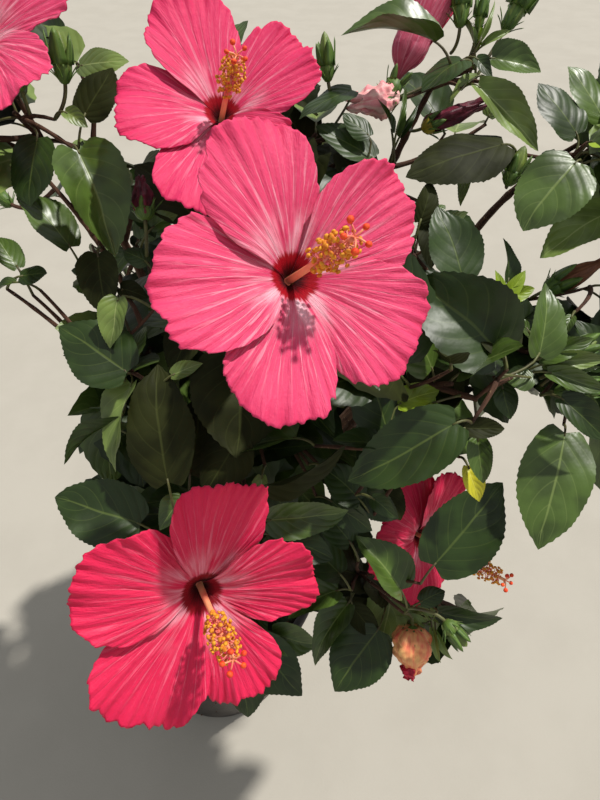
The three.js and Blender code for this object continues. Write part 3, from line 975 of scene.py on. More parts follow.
@dataclass(frozen=True)
class BloomSize:
    """A bloom: its mass, throat, facing and radius, its petals, and how far it opens."""

    name: str
    throat: Triple
    facing: Triple
    radius: float
    turn: float
    open: float = 1.0
    petals: tuple[Petal, ...] = ()
    tint: BloomTint = BloomTint.PINK
    tube: float = 0.0
    column: float = 56.0
    lean: tuple[float, float] = (0.0, 4.0)
    columns: int = 40
    rows: int = 24

    @cached_property
    def axes(self) -> tuple[Array, Array, Array]:
        """Level to the right, upward and ahead, as seen from the front.

        Returns:
            The three directions.
        """
        ahead = unit(vec(*self.facing))
        level = unit(np.cross(UP, ahead))
        return level, np.cross(ahead, level), ahead

    @cached_property
    def middle(self) -> Array:
        """The throat's place."""
        return vec(*self.throat)

    def way(self, right: float, up: float, ahead: float) -> Array:
        """A way off from its throat, as seen from the front."""
        return self.axes[2] * ahead + self.axes[0] * right + self.axes[1] * up

    @property
    def closing(self) -> float:
        """How much of a wide open bloom's spread is missing."""
        return 1 - self.open

    def holds(self, points: Array) -> bool:
        """Tells whether any point lies in the space that the petals and the column fill.

        Args:
            points: one row each.

        Returns:
            True if one does.
        """
        ahead = self.axes[2]
        offset = points - self.middle
        height = offset @ ahead
        reach = np.linalg.norm(offset - height[:, None] * ahead, axis=1)
        depth = CUP + 5 + self.closing * self.radius * DRAW
        petals = (height > -CLEAR_BLOOM) & (height < depth + CLEAR_BLOOM)
        petals &= reach < self.radius + CLEAR_BLOOM
        core = (height > -CALYX_DEPTH - CLEAR_BLOOM) & (height < COLUMN_LENGTH + CLEAR_BLOOM)
        return bool((petals | (core & (reach < CORE_RADIUS + CLEAR_BLOOM))).any())


BLOOMS = (
    BloomSize("centre", (140, -221, 980), (0.385, -0.615, 0.686), 76, 97, petals=(
        Petal(95, 0.96, 37, -1), Petal(16, 0.93, 34, 2), Petal(308, 0.95, 36, -2), Petal(233, 0.96, 31, 2),
        Petal(173, 0.97, 36, 1)), column=55, lean=(9, 2.5), columns=96, rows=46),
    BloomSize("top_centre", (90, -40, 992), (0.22, -0.53, 0.813), 73, 105, tint=BloomTint.ROSE, petals=(
        Petal(97, 1.1, 36, 2), Petal(25, 1.03, 33, 3), Petal(304, 0.7, 30, -4), Petal(243, 1.2, 34, 3),
        Petal(174, 0.99, 38, -2)), column=55, lean=(5, 3), columns=84, rows=42),
    BloomSize("front_left", (85, -300, 815), (0.37, -0.82, 0.438), 75, 80, tint=BloomTint.CRIMSON, petals=(
        Petal(67, 1.07, 31, 4), Petal(144, 1.02, 38, 1), Petal(220, 1.1, 34, 3), Petal(277, 1.0, 29, -2),
        Petal(356, 0.9, 38, 0)), column=61, lean=(2, -5.5), columns=96, rows=46),
    BloomSize("upper_left", (-62, -34, 1034), (-0.05, -0.5, 0.86), 70, 60, petals=(
        Petal(36, 0.99, 34, 2), Petal(312, 1.05, 36, 0), Petal(245, 1, 36, 1), Petal(175, 1, 36, -1),
        Petal(105, 1, 36, 2)), columns=76, rows=38),
    BloomSize("top", (226, 54, 996), (0.38, 0.566, 0.707), 68, 20, 0.16, tint=BloomTint.ROSE, tube=14,
              columns=56, rows=30),
    BloomSize("front_right", (252, -172, 672), (0.6, -0.715, 0.36), 62, 40, tint=BloomTint.CRIMSON, petals=(
        Petal(50, 1.04, 40, -8), Petal(92, 1.12, 42, -22), Petal(160, 1.05, 37, -14),
        Petal(254, 1.05, 36, -4), Petal(324, 1, 36, 0)), column=96, columns=64, rows=34),
    BloomSize("back", (116, 262, 812), (0.1, 0.72, 0.68), 72, 10),
    BloomSize("back_left", (-190, 150, 850), (-0.72, 0.42, 0.55), 70, 75, 0.2, tube=14),
)


@dataclass
class Corolla:
    """The five petals of a bloom, each a thin closed sheet that overlaps the next.

    The notches are rows of a share, then the pace and the phase of two waves. The ruffles are rows of a
    share, a pace, a phase and what the distance from the middle adds.
    """

    size: BloomSize
    thickness: float = 0.45
    base_radius: float = 2.9
    flange: float = 1.25
    depth: float = 6.0
    rise: float = 14.0
    slope: float = 16.0
    ruffle: float = 2.7
    wrinkle: float = 0.28
    furrow: float = 0.9
    phases: int = 12
    bites: int = 4
    notches: tuple[tuple[float, float, int, float, int], ...] = (
        (0.01, 19, 3, 6.7, 4), (0.01, 37, 4, 13, 3), (0.009, 71, 2, 17, 0))
    ruffles: tuple[tuple[float, float, int, float], ...] = (
        (1, 3.9, 6, 0), (0.7, 8.6, 7, 2), (0.3, 17, 8, -3), (0.3, 43, 9, 5))

    def _sheet(self, petal: Petal, random: Seeded) -> tuple[Array, Array]:
        """One petal's back face.

        Args:
            petal: the petal.
            random: the numbers that make it unlike the others.

        Returns:
            Its points in the bloom's own frame and its UVs, by rows and columns.
        """
        size = self.size
        across, along = np.meshgrid(np.linspace(-1, 1, size.columns + 1), np.linspace(0, 1, size.rows + 1))
        phase = [random.between(0, FULL_TURN) for _ in range(self.phases)]
        side = across * self.flange
        full = size.radius * petal.reach
        outline = 1 - 0.3 * np.abs(side) ** 3.1 + 0.035 * side * math.sin(phase[0])
        outline += 0.022 * np.sin(4.6 * side + phase[1]) + 0.014 * np.sin(8.3 * side + phase[2])
        for part, fast, first, slow, second in self.notches:
            outline += part * np.sin(fast * side + phase[first]) * np.sin(slow * side + phase[second])
        for _ in range(self.bites):
            spot, bite = random.between(-1.15, 1.15), random.between(0.008, 0.034)
            outline -= bite * np.exp(-((side - spot) / 0.05) ** 2)
        radius = self.base_radius + (full * outline - self.base_radius) * along
        share = radius / full
        angle = petal.angle + petal.half * side
        angle += 2.2 * share * np.sin(3.1 * share + 2.4 * side + phase[5])
        height = -self.depth + self.rise * (1 - np.exp(-share / 0.13)) + self.slope * share
        height -= size.tube * np.exp(-share / 0.1)
        height += petal.lift * share ** 2 - random.between(1, 5) * share ** 4
        height += side * (0.4 + 2.4 * smooth(share, 0.1, 0.4))
        height -= random.between(0.5, 3.5) * side ** 2 * share ** 2
        wave = sum(part * np.sin(pace * side + phase[first] + run * share)
                   for part, pace, first, run in self.ruffles)
        height += self.ruffle * wave * share ** 1.6 * along ** 3
        drift = 2.5 * np.sin(4 * share + phase[10])
        wrinkle = np.sin(27 * side + drift) * np.sin(6 * side + phase[11] + 3 * share)
        wrinkle += 0.8 * np.sin(47 * side - drift) * np.sin(9 * side + phase[10] - 4 * share)
        height += self.wrinkle * wrinkle * smooth(share, 0.15, 0.4)
        furrow = np.exp(-(side / 0.16) ** 2) * smooth(share, 0.1, 0.3) * (1 - smooth(share, 0.6, 0.95))
        height -= self.furrow * furrow
        closing = size.closing
        if closing:
            outward = np.clip((radius - THROAT) / (size.radius - THROAT), 0, None)
            drawn = THROAT + (radius - THROAT) * (1 - closing * DRAW * smooth(outward, 0, 0.25))
            radius = np.where(radius > THROAT, drawn, radius)
            height = height + closing * outward * size.radius * DRAW
            radius = radius * (1 - 0.6 * closing * np.exp(-np.clip(height + 20, 0, None) / 55))
        turn = angle * DEG
        points = np.stack([radius * np.cos(turn), radius * np.sin(turn), height], axis=2)
        return points, np.stack([(across + 1) / 2, share], axis=2)

    def _placed(self, grid: Array) -> Array:
        """Points of the bloom's own frame where the bloom stands."""
        level, upward, ahead = self.size.axes
        return self.size.middle + grid[..., :1] * level + grid[..., 1:2] * upward + grid[..., 2:] * ahead

    def _close(self, soup: Soup, back: Array, uv: Array) -> None:
        """Adds a petal's back with its front and its rim.

        Args:
            soup: the mesh that they join.
            back: the back's points, by rows and columns.
            uv: its UVs.
        """
        rows, columns = back.shape[:2]
        normal = np.cross(np.gradient(back, axis=1), np.gradient(back, axis=0))
        normal /= np.maximum(np.linalg.norm(normal, axis=2)[..., None], 1e-9)
        front = back - normal * self.thickness
        half = rows * columns
        faces: Faces = []
        for i in range(rows - 1):
            for j in range(columns - 1):
                corner = i * columns + j
                quad = (corner, corner + 1, corner + columns + 1, corner + columns)
                faces += [quad, tuple(half + index for index in quad[::-1])]
        numbers = np.arange(half).reshape(rows, columns)
        loop = [*numbers[0], *numbers[1:, -1], *numbers[-1, -2::-1], *numbers[-2:0:-1, 0]]
        loop = [int(number) for number in loop]
        for first, second in zip(loop, loop[1:] + loop[:1]):
            faces.append((second, first, half + first, half + second))
        points = np.concatenate([back.reshape(-1, 3), front.reshape(-1, 3)])
        soup.add(points, faces, np.concatenate([(uv + (2, 0)).reshape(-1, 2), uv.reshape(-1, 2)]))

    def build(self, material: Material) -> Thing:
        """Makes the bloom's petals as one piece.

        Args:
            material: the petals' finish.

        Returns:
            The piece.
        """
        soup = Soup()
        size = self.size
        random = Seeded(int(size.radius * 100 + size.turn))
        petals = size.petals or tuple(
            Petal(size.turn + 72 * k, random.between(0.97, 1.05), 37, random.between(-3, 4))
            for k in range(5))
        for number, petal in enumerate(petals):
            points, uv = self._sheet(petal, random)
            self._close(soup, self._placed(points), uv + (0, 2 * number))
        return soup.piece(f"corolla_{size.name}", material)


@dataclass(frozen=True)
class Mark:
    """Where a small shape goes: its place, its +Y and +Z, its size, which shape it is, its width share."""

    place: Array
    along: Array
    normal: Array
    size: float
    shape: int = 0
    width: float = 1.0


@dataclass
class Brush:
    """The columns of all blooms with their anthers and stigmas. Each small part is set at marked points."""

    blooms: tuple[BloomSize, ...]
    radius: float = 1.9
    anthers: int = 112
    brush_from: float = 0.56
    brush_to: float = 0.95
    filament: float = 7.6
    styles: int = 5
    styles_at: float = 0.98
    lines: dict[str, Shoot] = field(default_factory=dict)

    def _line(self, bloom: BloomSize) -> Shoot:
        """The column's line, which leans a little off the bloom's facing."""
        start, tip = bloom.middle - bloom.axes[2] * 12, bloom.middle + bloom.way(*bloom.lean, bloom.column)
        return Shoot.towards(start, bloom.axes[2], tip)

    def columns(self) -> Thing:
        """Makes the columns of all blooms.

        Returns:
            The one piece.
        """
        soup = Soup()
        for bloom in self.blooms:
            line = self.lines[bloom.name] = self._line(bloom)
            shares = np.linspace(0, 1, 22)
            soup.tube(line.points(shares), self.radius * (1.15 - 0.5 * shares), 12)
            base = line.at(self.styles_at)
            for k in range(self.styles):
                branch = Shoot.towards(base, line.tangent(1.0), base + self._style(bloom, k) * 7)
                soup.tube(branch.points(np.linspace(0, 1, 5)), np.full(5, 0.5), 6)
        return soup.piece("stamen_columns", COLUMN_SKIN.material())

    def _style(self, bloom: BloomSize, index: int) -> Array:
        """The heading of one of the styles at the column's tip."""
        angle = (index / self.styles + 0.06) * FULL_TURN
        return unit(bloom.way(math.cos(angle) * 0.85, math.sin(angle) * 0.85, 0.55))

    def stigmas(self) -> list[Mark]:
        """Finds where the stigmas go.

        Returns:
            Their marks.
        """
        marks = []
        for bloom in self.blooms:
            base = self.lines[bloom.name].at(self.styles_at)
            for k in range(self.styles):
                heading = self._style(bloom, k)
                marks.append(Mark(base + heading * (7.5 + k % 2), heading, UP, 1.7 + 0.2 * (k % 2)))
        return marks

    def stamens(self) -> tuple[list[Mark], list[Mark]]:
        """Finds where the filaments go, and the anthers at their ends.

        Returns:
            The filaments' marks and the anthers' marks.
        """
        filaments, anthers = [], []
        for number, bloom in enumerate(self.blooms):
            line = self.lines[bloom.name]
            random = Seeded(700 + number)
            for k in range(self.anthers):
                share = self.brush_from + (self.brush_to - self.brush_from) * (k + 0.5) / self.anthers
                along = line.tangent(share)
                side = sideways(along, k * GOLDEN_ANGLE + random.between(-0.4, 0.4))
                heading = unit(side + along * random.between(-0.1, 0.55))
                end = 1 - 0.35 * abs(2 * (k / self.anthers) - 1) ** 2
                reach = self.filament * random.between(0.55, 1.15) * end
                root = line.at(share) + side * self.radius * 0.5
                filaments.append(Mark(root, heading, along, reach))
                facing = sideways(heading, random.between(0, 6.3))
                anthers.append(Mark(root + heading * reach, facing, heading, random.between(1.15, 1.6)))
        return filaments, anthers


# What repeats, set at marked points


class Graph(NodeTree):
    """A tree of geometry nodes being built."""

    def __init__(self, name: str) -> None:
        """Starts a tree that takes and gives geometry.

        Args:
            name: the tree's name.
        """
        self.tree = bpy.data.node_groups.new(name, "GeometryNodeTree")
        for way in ("INPUT", "OUTPUT"):
            self.tree.interface.new_socket("Geometry", in_out=way, socket_type="NodeSocketGeometry")
        self.source = self.tree.nodes.new("NodeGroupInput")
        self.result = self.tree.nodes.new("NodeGroupOutput")

    def take(self, **kinds: str) -> list[Socket]:
        """Adds named inputs.

        Args:
            kinds: each input's kind, its name with _ for a space.

        Returns:
            Their sockets in the tree.
        """
        names = [name.replace("_", " ") for name in kinds]
        for name, kind in zip(names, kinds.values()):
            self.tree.interface.new_socket(name, in_out="INPUT", socket_type=f"NodeSocket{kind}")
        return [self.source.outputs[name] for name in names]

    def named(self, name: str, kind: str) -> Socket:
        """The value of a named attribute."""
        node = self.node("GeometryNodeInputNamedAttribute", {"Name": name}, data_type=kind)
        return node.outputs["Attribute"]

    def instanced(self, points: Socket, shapes: Socket, **inputs: Socket) -> Socket:
        """Sets a collection's shapes at points and realizes them.

        Args:
            points: the points.
            shapes: the collection.
            inputs: each shape's Rotation and Scale, and which shape it is, as Instance_Index.

        Returns:
            The real geometry.
        """
        every = {"Separate Children": True, "Reset Children": True, "Collection": shapes}
        group = self.node("GeometryNodeCollectionInfo", every)
        named = {name.replace("_", " "): value for name, value in inputs.items()}
        setter = self.node("GeometryNodeInstanceOnPoints", {
            "Pick Instance": True, "Points": points, "Instance": group.outputs[0], **named})
        real = self.node("GeometryNodeRealizeInstances", {"Geometry": setter.outputs["Instances"]})
        return real.outputs["Geometry"]

    def finish(self, geometry: Socket, material: Socket) -> None:
        """Ends the tree with the geometry that it gives and the material that this is dressed in."""
        dressed = self.node("GeometryNodeSetMaterial", {"Geometry": geometry, "Material": material})
        self.tree.links.new(dressed.outputs["Geometry"], self.result.inputs["Geometry"])


@dataclass
class MarkedSetter:
    """Sets small shapes at marked points, realizes them and bends each one a little differently."""

    tree: Tree | None = None

    def _build_tree(self) -> Tree:
        """Builds the tree: instances at the marks, realized, then moved by a wandering offset.

        Returns:
            The tree.
        """
        graph = Graph("set_at_marks")
        shapes, waviness, scale, material = graph.take(
            Shapes="Collection", Waviness="Float", Wave_Scale="Float", Material="Material")
        real = graph.instanced(
            graph.source.outputs["Geometry"], shapes, Rotation=graph.named("turn", "QUATERNION"),
            Scale=graph.named("size", "FLOAT_VECTOR"), Instance_Index=graph.named("shape", "INT"))
        cloud = graph.node("ShaderNodeTexNoise", {"Scale": scale, "Detail": 1.0})
        around = {0: cloud.outputs["Color"], 1: (0.5, 0.5, 0.5)}
        middle = graph.node("ShaderNodeVectorMath", around, operation="SUBTRACT")
        freed = {0: graph.named("free", "FLOAT"), 1: waviness}
        loose = graph.node("ShaderNodeMath", freed, operation="MULTIPLY")
        swayed = {0: middle.outputs[0], "Scale": loose.outputs[0]}
        offset = graph.node("ShaderNodeVectorMath", swayed, operation="SCALE")
        moved = graph.node("GeometryNodeSetPosition", {"Geometry": real, "Offset": offset.outputs[0]})
        graph.finish(moved.outputs["Geometry"], material)
        return graph.tree

    def build(self, name: str, marks: list[Mark], shapes: bpy.types.Collection, material: Material,
              waviness: float = 0.0, wave_scale: float = 20.0) -> Thing:
        """Makes one plain mesh of shapes at marks.

        Args:
            name: the piece's name.
            marks: where the shapes go.
            shapes: the collection that the marks pick from.
            material: the piece's material.
            waviness: how far the wandering offset goes, in metres.
            wave_scale: how fine it is.

        Returns:
            The piece.
        """
        self.tree = self.tree or self._build_tree()
        mesh = bpy.data.meshes.new(name)
        mesh.from_pydata([tuple(mark.place * MM) for mark in marks], [], [])
        turns = [list(basis(mark.along, mark.normal).to_quaternion()) for mark in marks]
        sizes = np.array([(mark.size * mark.width, mark.size, mark.size) for mark in marks], np.float32) * MM
        for title, kind, slot, values in (
                ("turn", "QUATERNION", "value", np.array(turns, np.float32)),
                ("size", "FLOAT_VECTOR", "vector", sizes),
                ("shape", "INT", "value", np.array([mark.shape for mark in marks], np.int32))):
            mesh.attributes.new(title, kind, "POINT").data.foreach_set(slot, values.ravel())
        inputs = {"Shapes": shapes, "Waviness": waviness, "Wave Scale": wave_scale, "Material": material}
        return plain_mesh(shown(name, mesh), self.tree, inputs)


def plain_mesh(holder: Thing, tree: Tree, values: dict[str, object]) -> Thing:
    """Runs a tree on an object and gives the result as a plain mesh.

    Args:
        holder: the object that the tree starts from. It is replaced.
        tree: the tree.
        values: its named inputs.

    Returns:
        A new object of the holder's name.
    """
    name = holder.name
    modifier = holder.modifiers.new("growth", "NODES")
    modifier.node_group = tree
    for item in tree.interface.items_tree:
        if item.item_type == "SOCKET" and item.in_out == "INPUT" and item.name in values:
            modifier[item.identifier] = values[item.name]
    holder.update_tag()
    bpy.context.view_layer.update()
    mesh = bpy.data.meshes.new_from_object(holder.evaluated_get(bpy.context.evaluated_depsgraph_get()))
    holder.modifiers.clear()
    bpy.data.objects.remove(holder)
    for spare in ("turn", "size", "shape", "free"):
        if spare in mesh.attributes:
            mesh.attributes.remove(mesh.attributes[spare])
    mesh.polygons.foreach_set("use_smooth", [True] * len(mesh.polygons))
    mesh.name = name
    return shown(name, mesh)


@dataclass(frozen=True)
class LeafShape:
    """An ovate, finely toothed leaf of length one: its fold along the midrib, droop, twist and curl."""

    fold: float
    droop: float
    twist: float
    curl: float
    width: float = 0.35
    teeth: tuple[float, float] = (0.018, 0.011)
    fine_from: int = 20
    toothed_from: float = 0.24
    wave: float = 0.034

    def soup(self, rows: int, strips: int) -> Soup:
        """Makes the leaf, base at the origin, tip along +Y, upper face up.

        Args:
            rows: rows of faces from base to tip.
            strips: strips of faces from edge to edge.

        Returns:
            The shape.
        """
        points = [(0.0, 0.0, 0.0)]
        uvs = [(0.5, 0.0)]
        bite = self.teeth[rows > self.fine_from]
        for row in range(1, rows):
            share = row / rows
            half = self.width * share ** 0.5 * (1 - share) ** 0.8 / 0.421
            tooth = bite * (1 if row % 2 else -0.6) * (0.7 + 0.3 * math.sin(5.0 * row))
            tooth = tooth if share > self.toothed_from else 0.0
            for side in np.linspace(-1, 1, strips + 1):
                outer = abs(side) == 1
                x = side * (half + (tooth * (1 - 0.5 * share) if outer else 0))
                y = share + (0.008 if outer and row % 2 else 0) - 0.09 * abs(side) ** 1.5 * (1 - share) ** 3
                points.append(self._bent(x, y))
                uvs.append((0.5 + side * 0.5, share))
        points.append(self._bent(0.0, 1.02))
        uvs.append((0.5, 1.0))
        last, wide = len(points) - 1, strips + 1
        base = 1 + (rows - 2) * wide
        faces: Faces = []
        for column in range(strips):
            faces += [(0, 2 + column, 1 + column), (last, base + column, base + column + 1)]
            for low in range(1 + column, base, wide):
                faces.append((low, low + 1, low + wide + 1, low + wide))
        return Soup().add(np.array(points) / MM, faces, np.array(uvs))

    def _bent(self, x: float, y: float) -> Triple:
        """A flat leaf's point, folded, drooped, twisted and waved at its edge.

        Args:
            x: its place across the leaf.
            y: its place along it.

        Returns:
            Where it goes.
        """
        out = min(1.0, abs(x) / self.width)
        lift = self.fold * (math.hypot(x, 0.03) - 0.03) - self.droop * y * y + self.curl * x * x
        lift += self.wave * out * out * math.sin(8.0 * y + (2.2 if x > 0 else 0.4) + 9 * self.twist)
        angle = self.twist * y
        turned_x = x * math.cos(angle) - lift * math.sin(angle) * 0.4
        return turned_x, y - 0.14 * self.droop * y * y, lift * math.cos(angle) + x * math.sin(angle)


LEAF_SHAPES = (
    LeafShape(0.2, 0.16, 0.12, 0.2), LeafShape(0.5, 0.26, -0.2, -0.2), LeafShape(0.1, 0.14, 0.3, -0.7),
    LeafShape(0.8, 0.3, 0.2, -0.3), LeafShape(0.35, 0.36, -0.35, 0.3, 0.32),
    LeafShape(0.15, 0.22, -0.15, -0.4, 0.38),
)
COARSE_LEAF = (14, 4)
FINE_LEAF = (36, 8)


def shape_collection(name: str, *soups: Soup) -> bpy.types.Collection:
    """A collection of template shapes, each with a loose share that grows along +Y.

    Args:
        name: the collection's name.
        soups: the shapes, in order.

    Returns:
        The collection, which isn't in the scene.
    """
    group = bpy.data.collections.new(name)
    blank = bpy.data.materials.new(name)
    for number, soup in enumerate(soups):
        piece = soup.piece(f"{name}_{number:02d}", blank)
        bpy.context.scene.collection.objects.unlink(piece)
        group.objects.link(piece)
        heights = np.clip([vertex.co.y for vertex in piece.data.vertices], 0, 1).astype(np.float32)
        piece.data.attributes.new("free", "FLOAT", "POINT").data.foreach_set("value", heights)
    return group


def ball(rings: int, sides: int, stretch: float = 1.0) -> Soup:
    """A small closed ball about the origin.

    Args:
        rings: rings between its poles.
        sides: faces round it.
        stretch: its length along +Z.

    Returns:
        The shape.
    """
    profile = [(0.0, -stretch / MM)]
    for ring in range(1, rings + 1):
        angle = math.pi * ring / (rings + 1)
        profile.append((math.sin(angle) / MM, -stretch * math.cos(angle) / MM))
    return Soup().lathe([*profile, (0.0, stretch / MM)], sides)


def thread() -> Soup:
    """A filament of length one along +Y, a little bent."""
    line = np.array([(0, 0, 0), (0, 0.5, 0.06), (0, 1, 0)]) / MM
    return Soup().tube(line, np.array([0.075, 0.05, 0.045]) / MM, 4)


def lobe(width: float, curve: float, rows: int = 6) -> Soup:
    """A narrow pointed bract or calyx lobe of length one along +Y, a thin closed blade.

    Args:
        width: its half width at the widest.
        curve: how far its tip bends to -Z.
        rows: rows of points along it.

    Returns:
        The shape.
    """
    points = []
    for row in range(rows):
        share = row / rows
        half = width * (1 - share) ** 0.75 * (0.8 + 0.6 * share)
        lift = -curve * share * share
        points += [(x, share, z + lift) for x, z in ((half, 0.0), (0, 0.045), (-half, 0.0), (0, -0.02))]
    points += [(0.0, -0.02, 0.0), (0.0, 1.0, -curve)]
    return Soup().add(np.array(points) / MM, tube_faces(rows, 4), np.array(points)[:, :2] * 0.5 + 0.5)


# The plant's growth


@dataclass(frozen=True)
class Oval:
    """An upright ellipse of the picture, in pixels."""

    x: float
    y: float
    half_width: float
    half_height: float

    def holds(self, across: Array, down: Array) -> Array:
        """Which of the pixels lie in it."""
        return ((across - self.x) / self.half_width) ** 2 + ((down - self.y) / self.half_height) ** 2 < 1


THICKETS = tuple(Oval(*row) for row in (
    (168, 385, 84, 150), (330, 440, 155, 92), (335, 560, 88, 70), (468, 350, 60, 92), (334, 122, 34, 42),
    (172, 196, 46, 56), (560, 352, 46, 62), (100, 300, 40, 60), (262, 668, 44, 30), (412, 630, 34, 24)))


@dataclass(frozen=True)
class Feature:
    """A leaf that stands out: its base and tip as pixels and distance, its lean, shape and width."""

    base: Triple
    tip: Triple
    lean: float = 0.0
    shape: int = 0
    width: float = 1.0
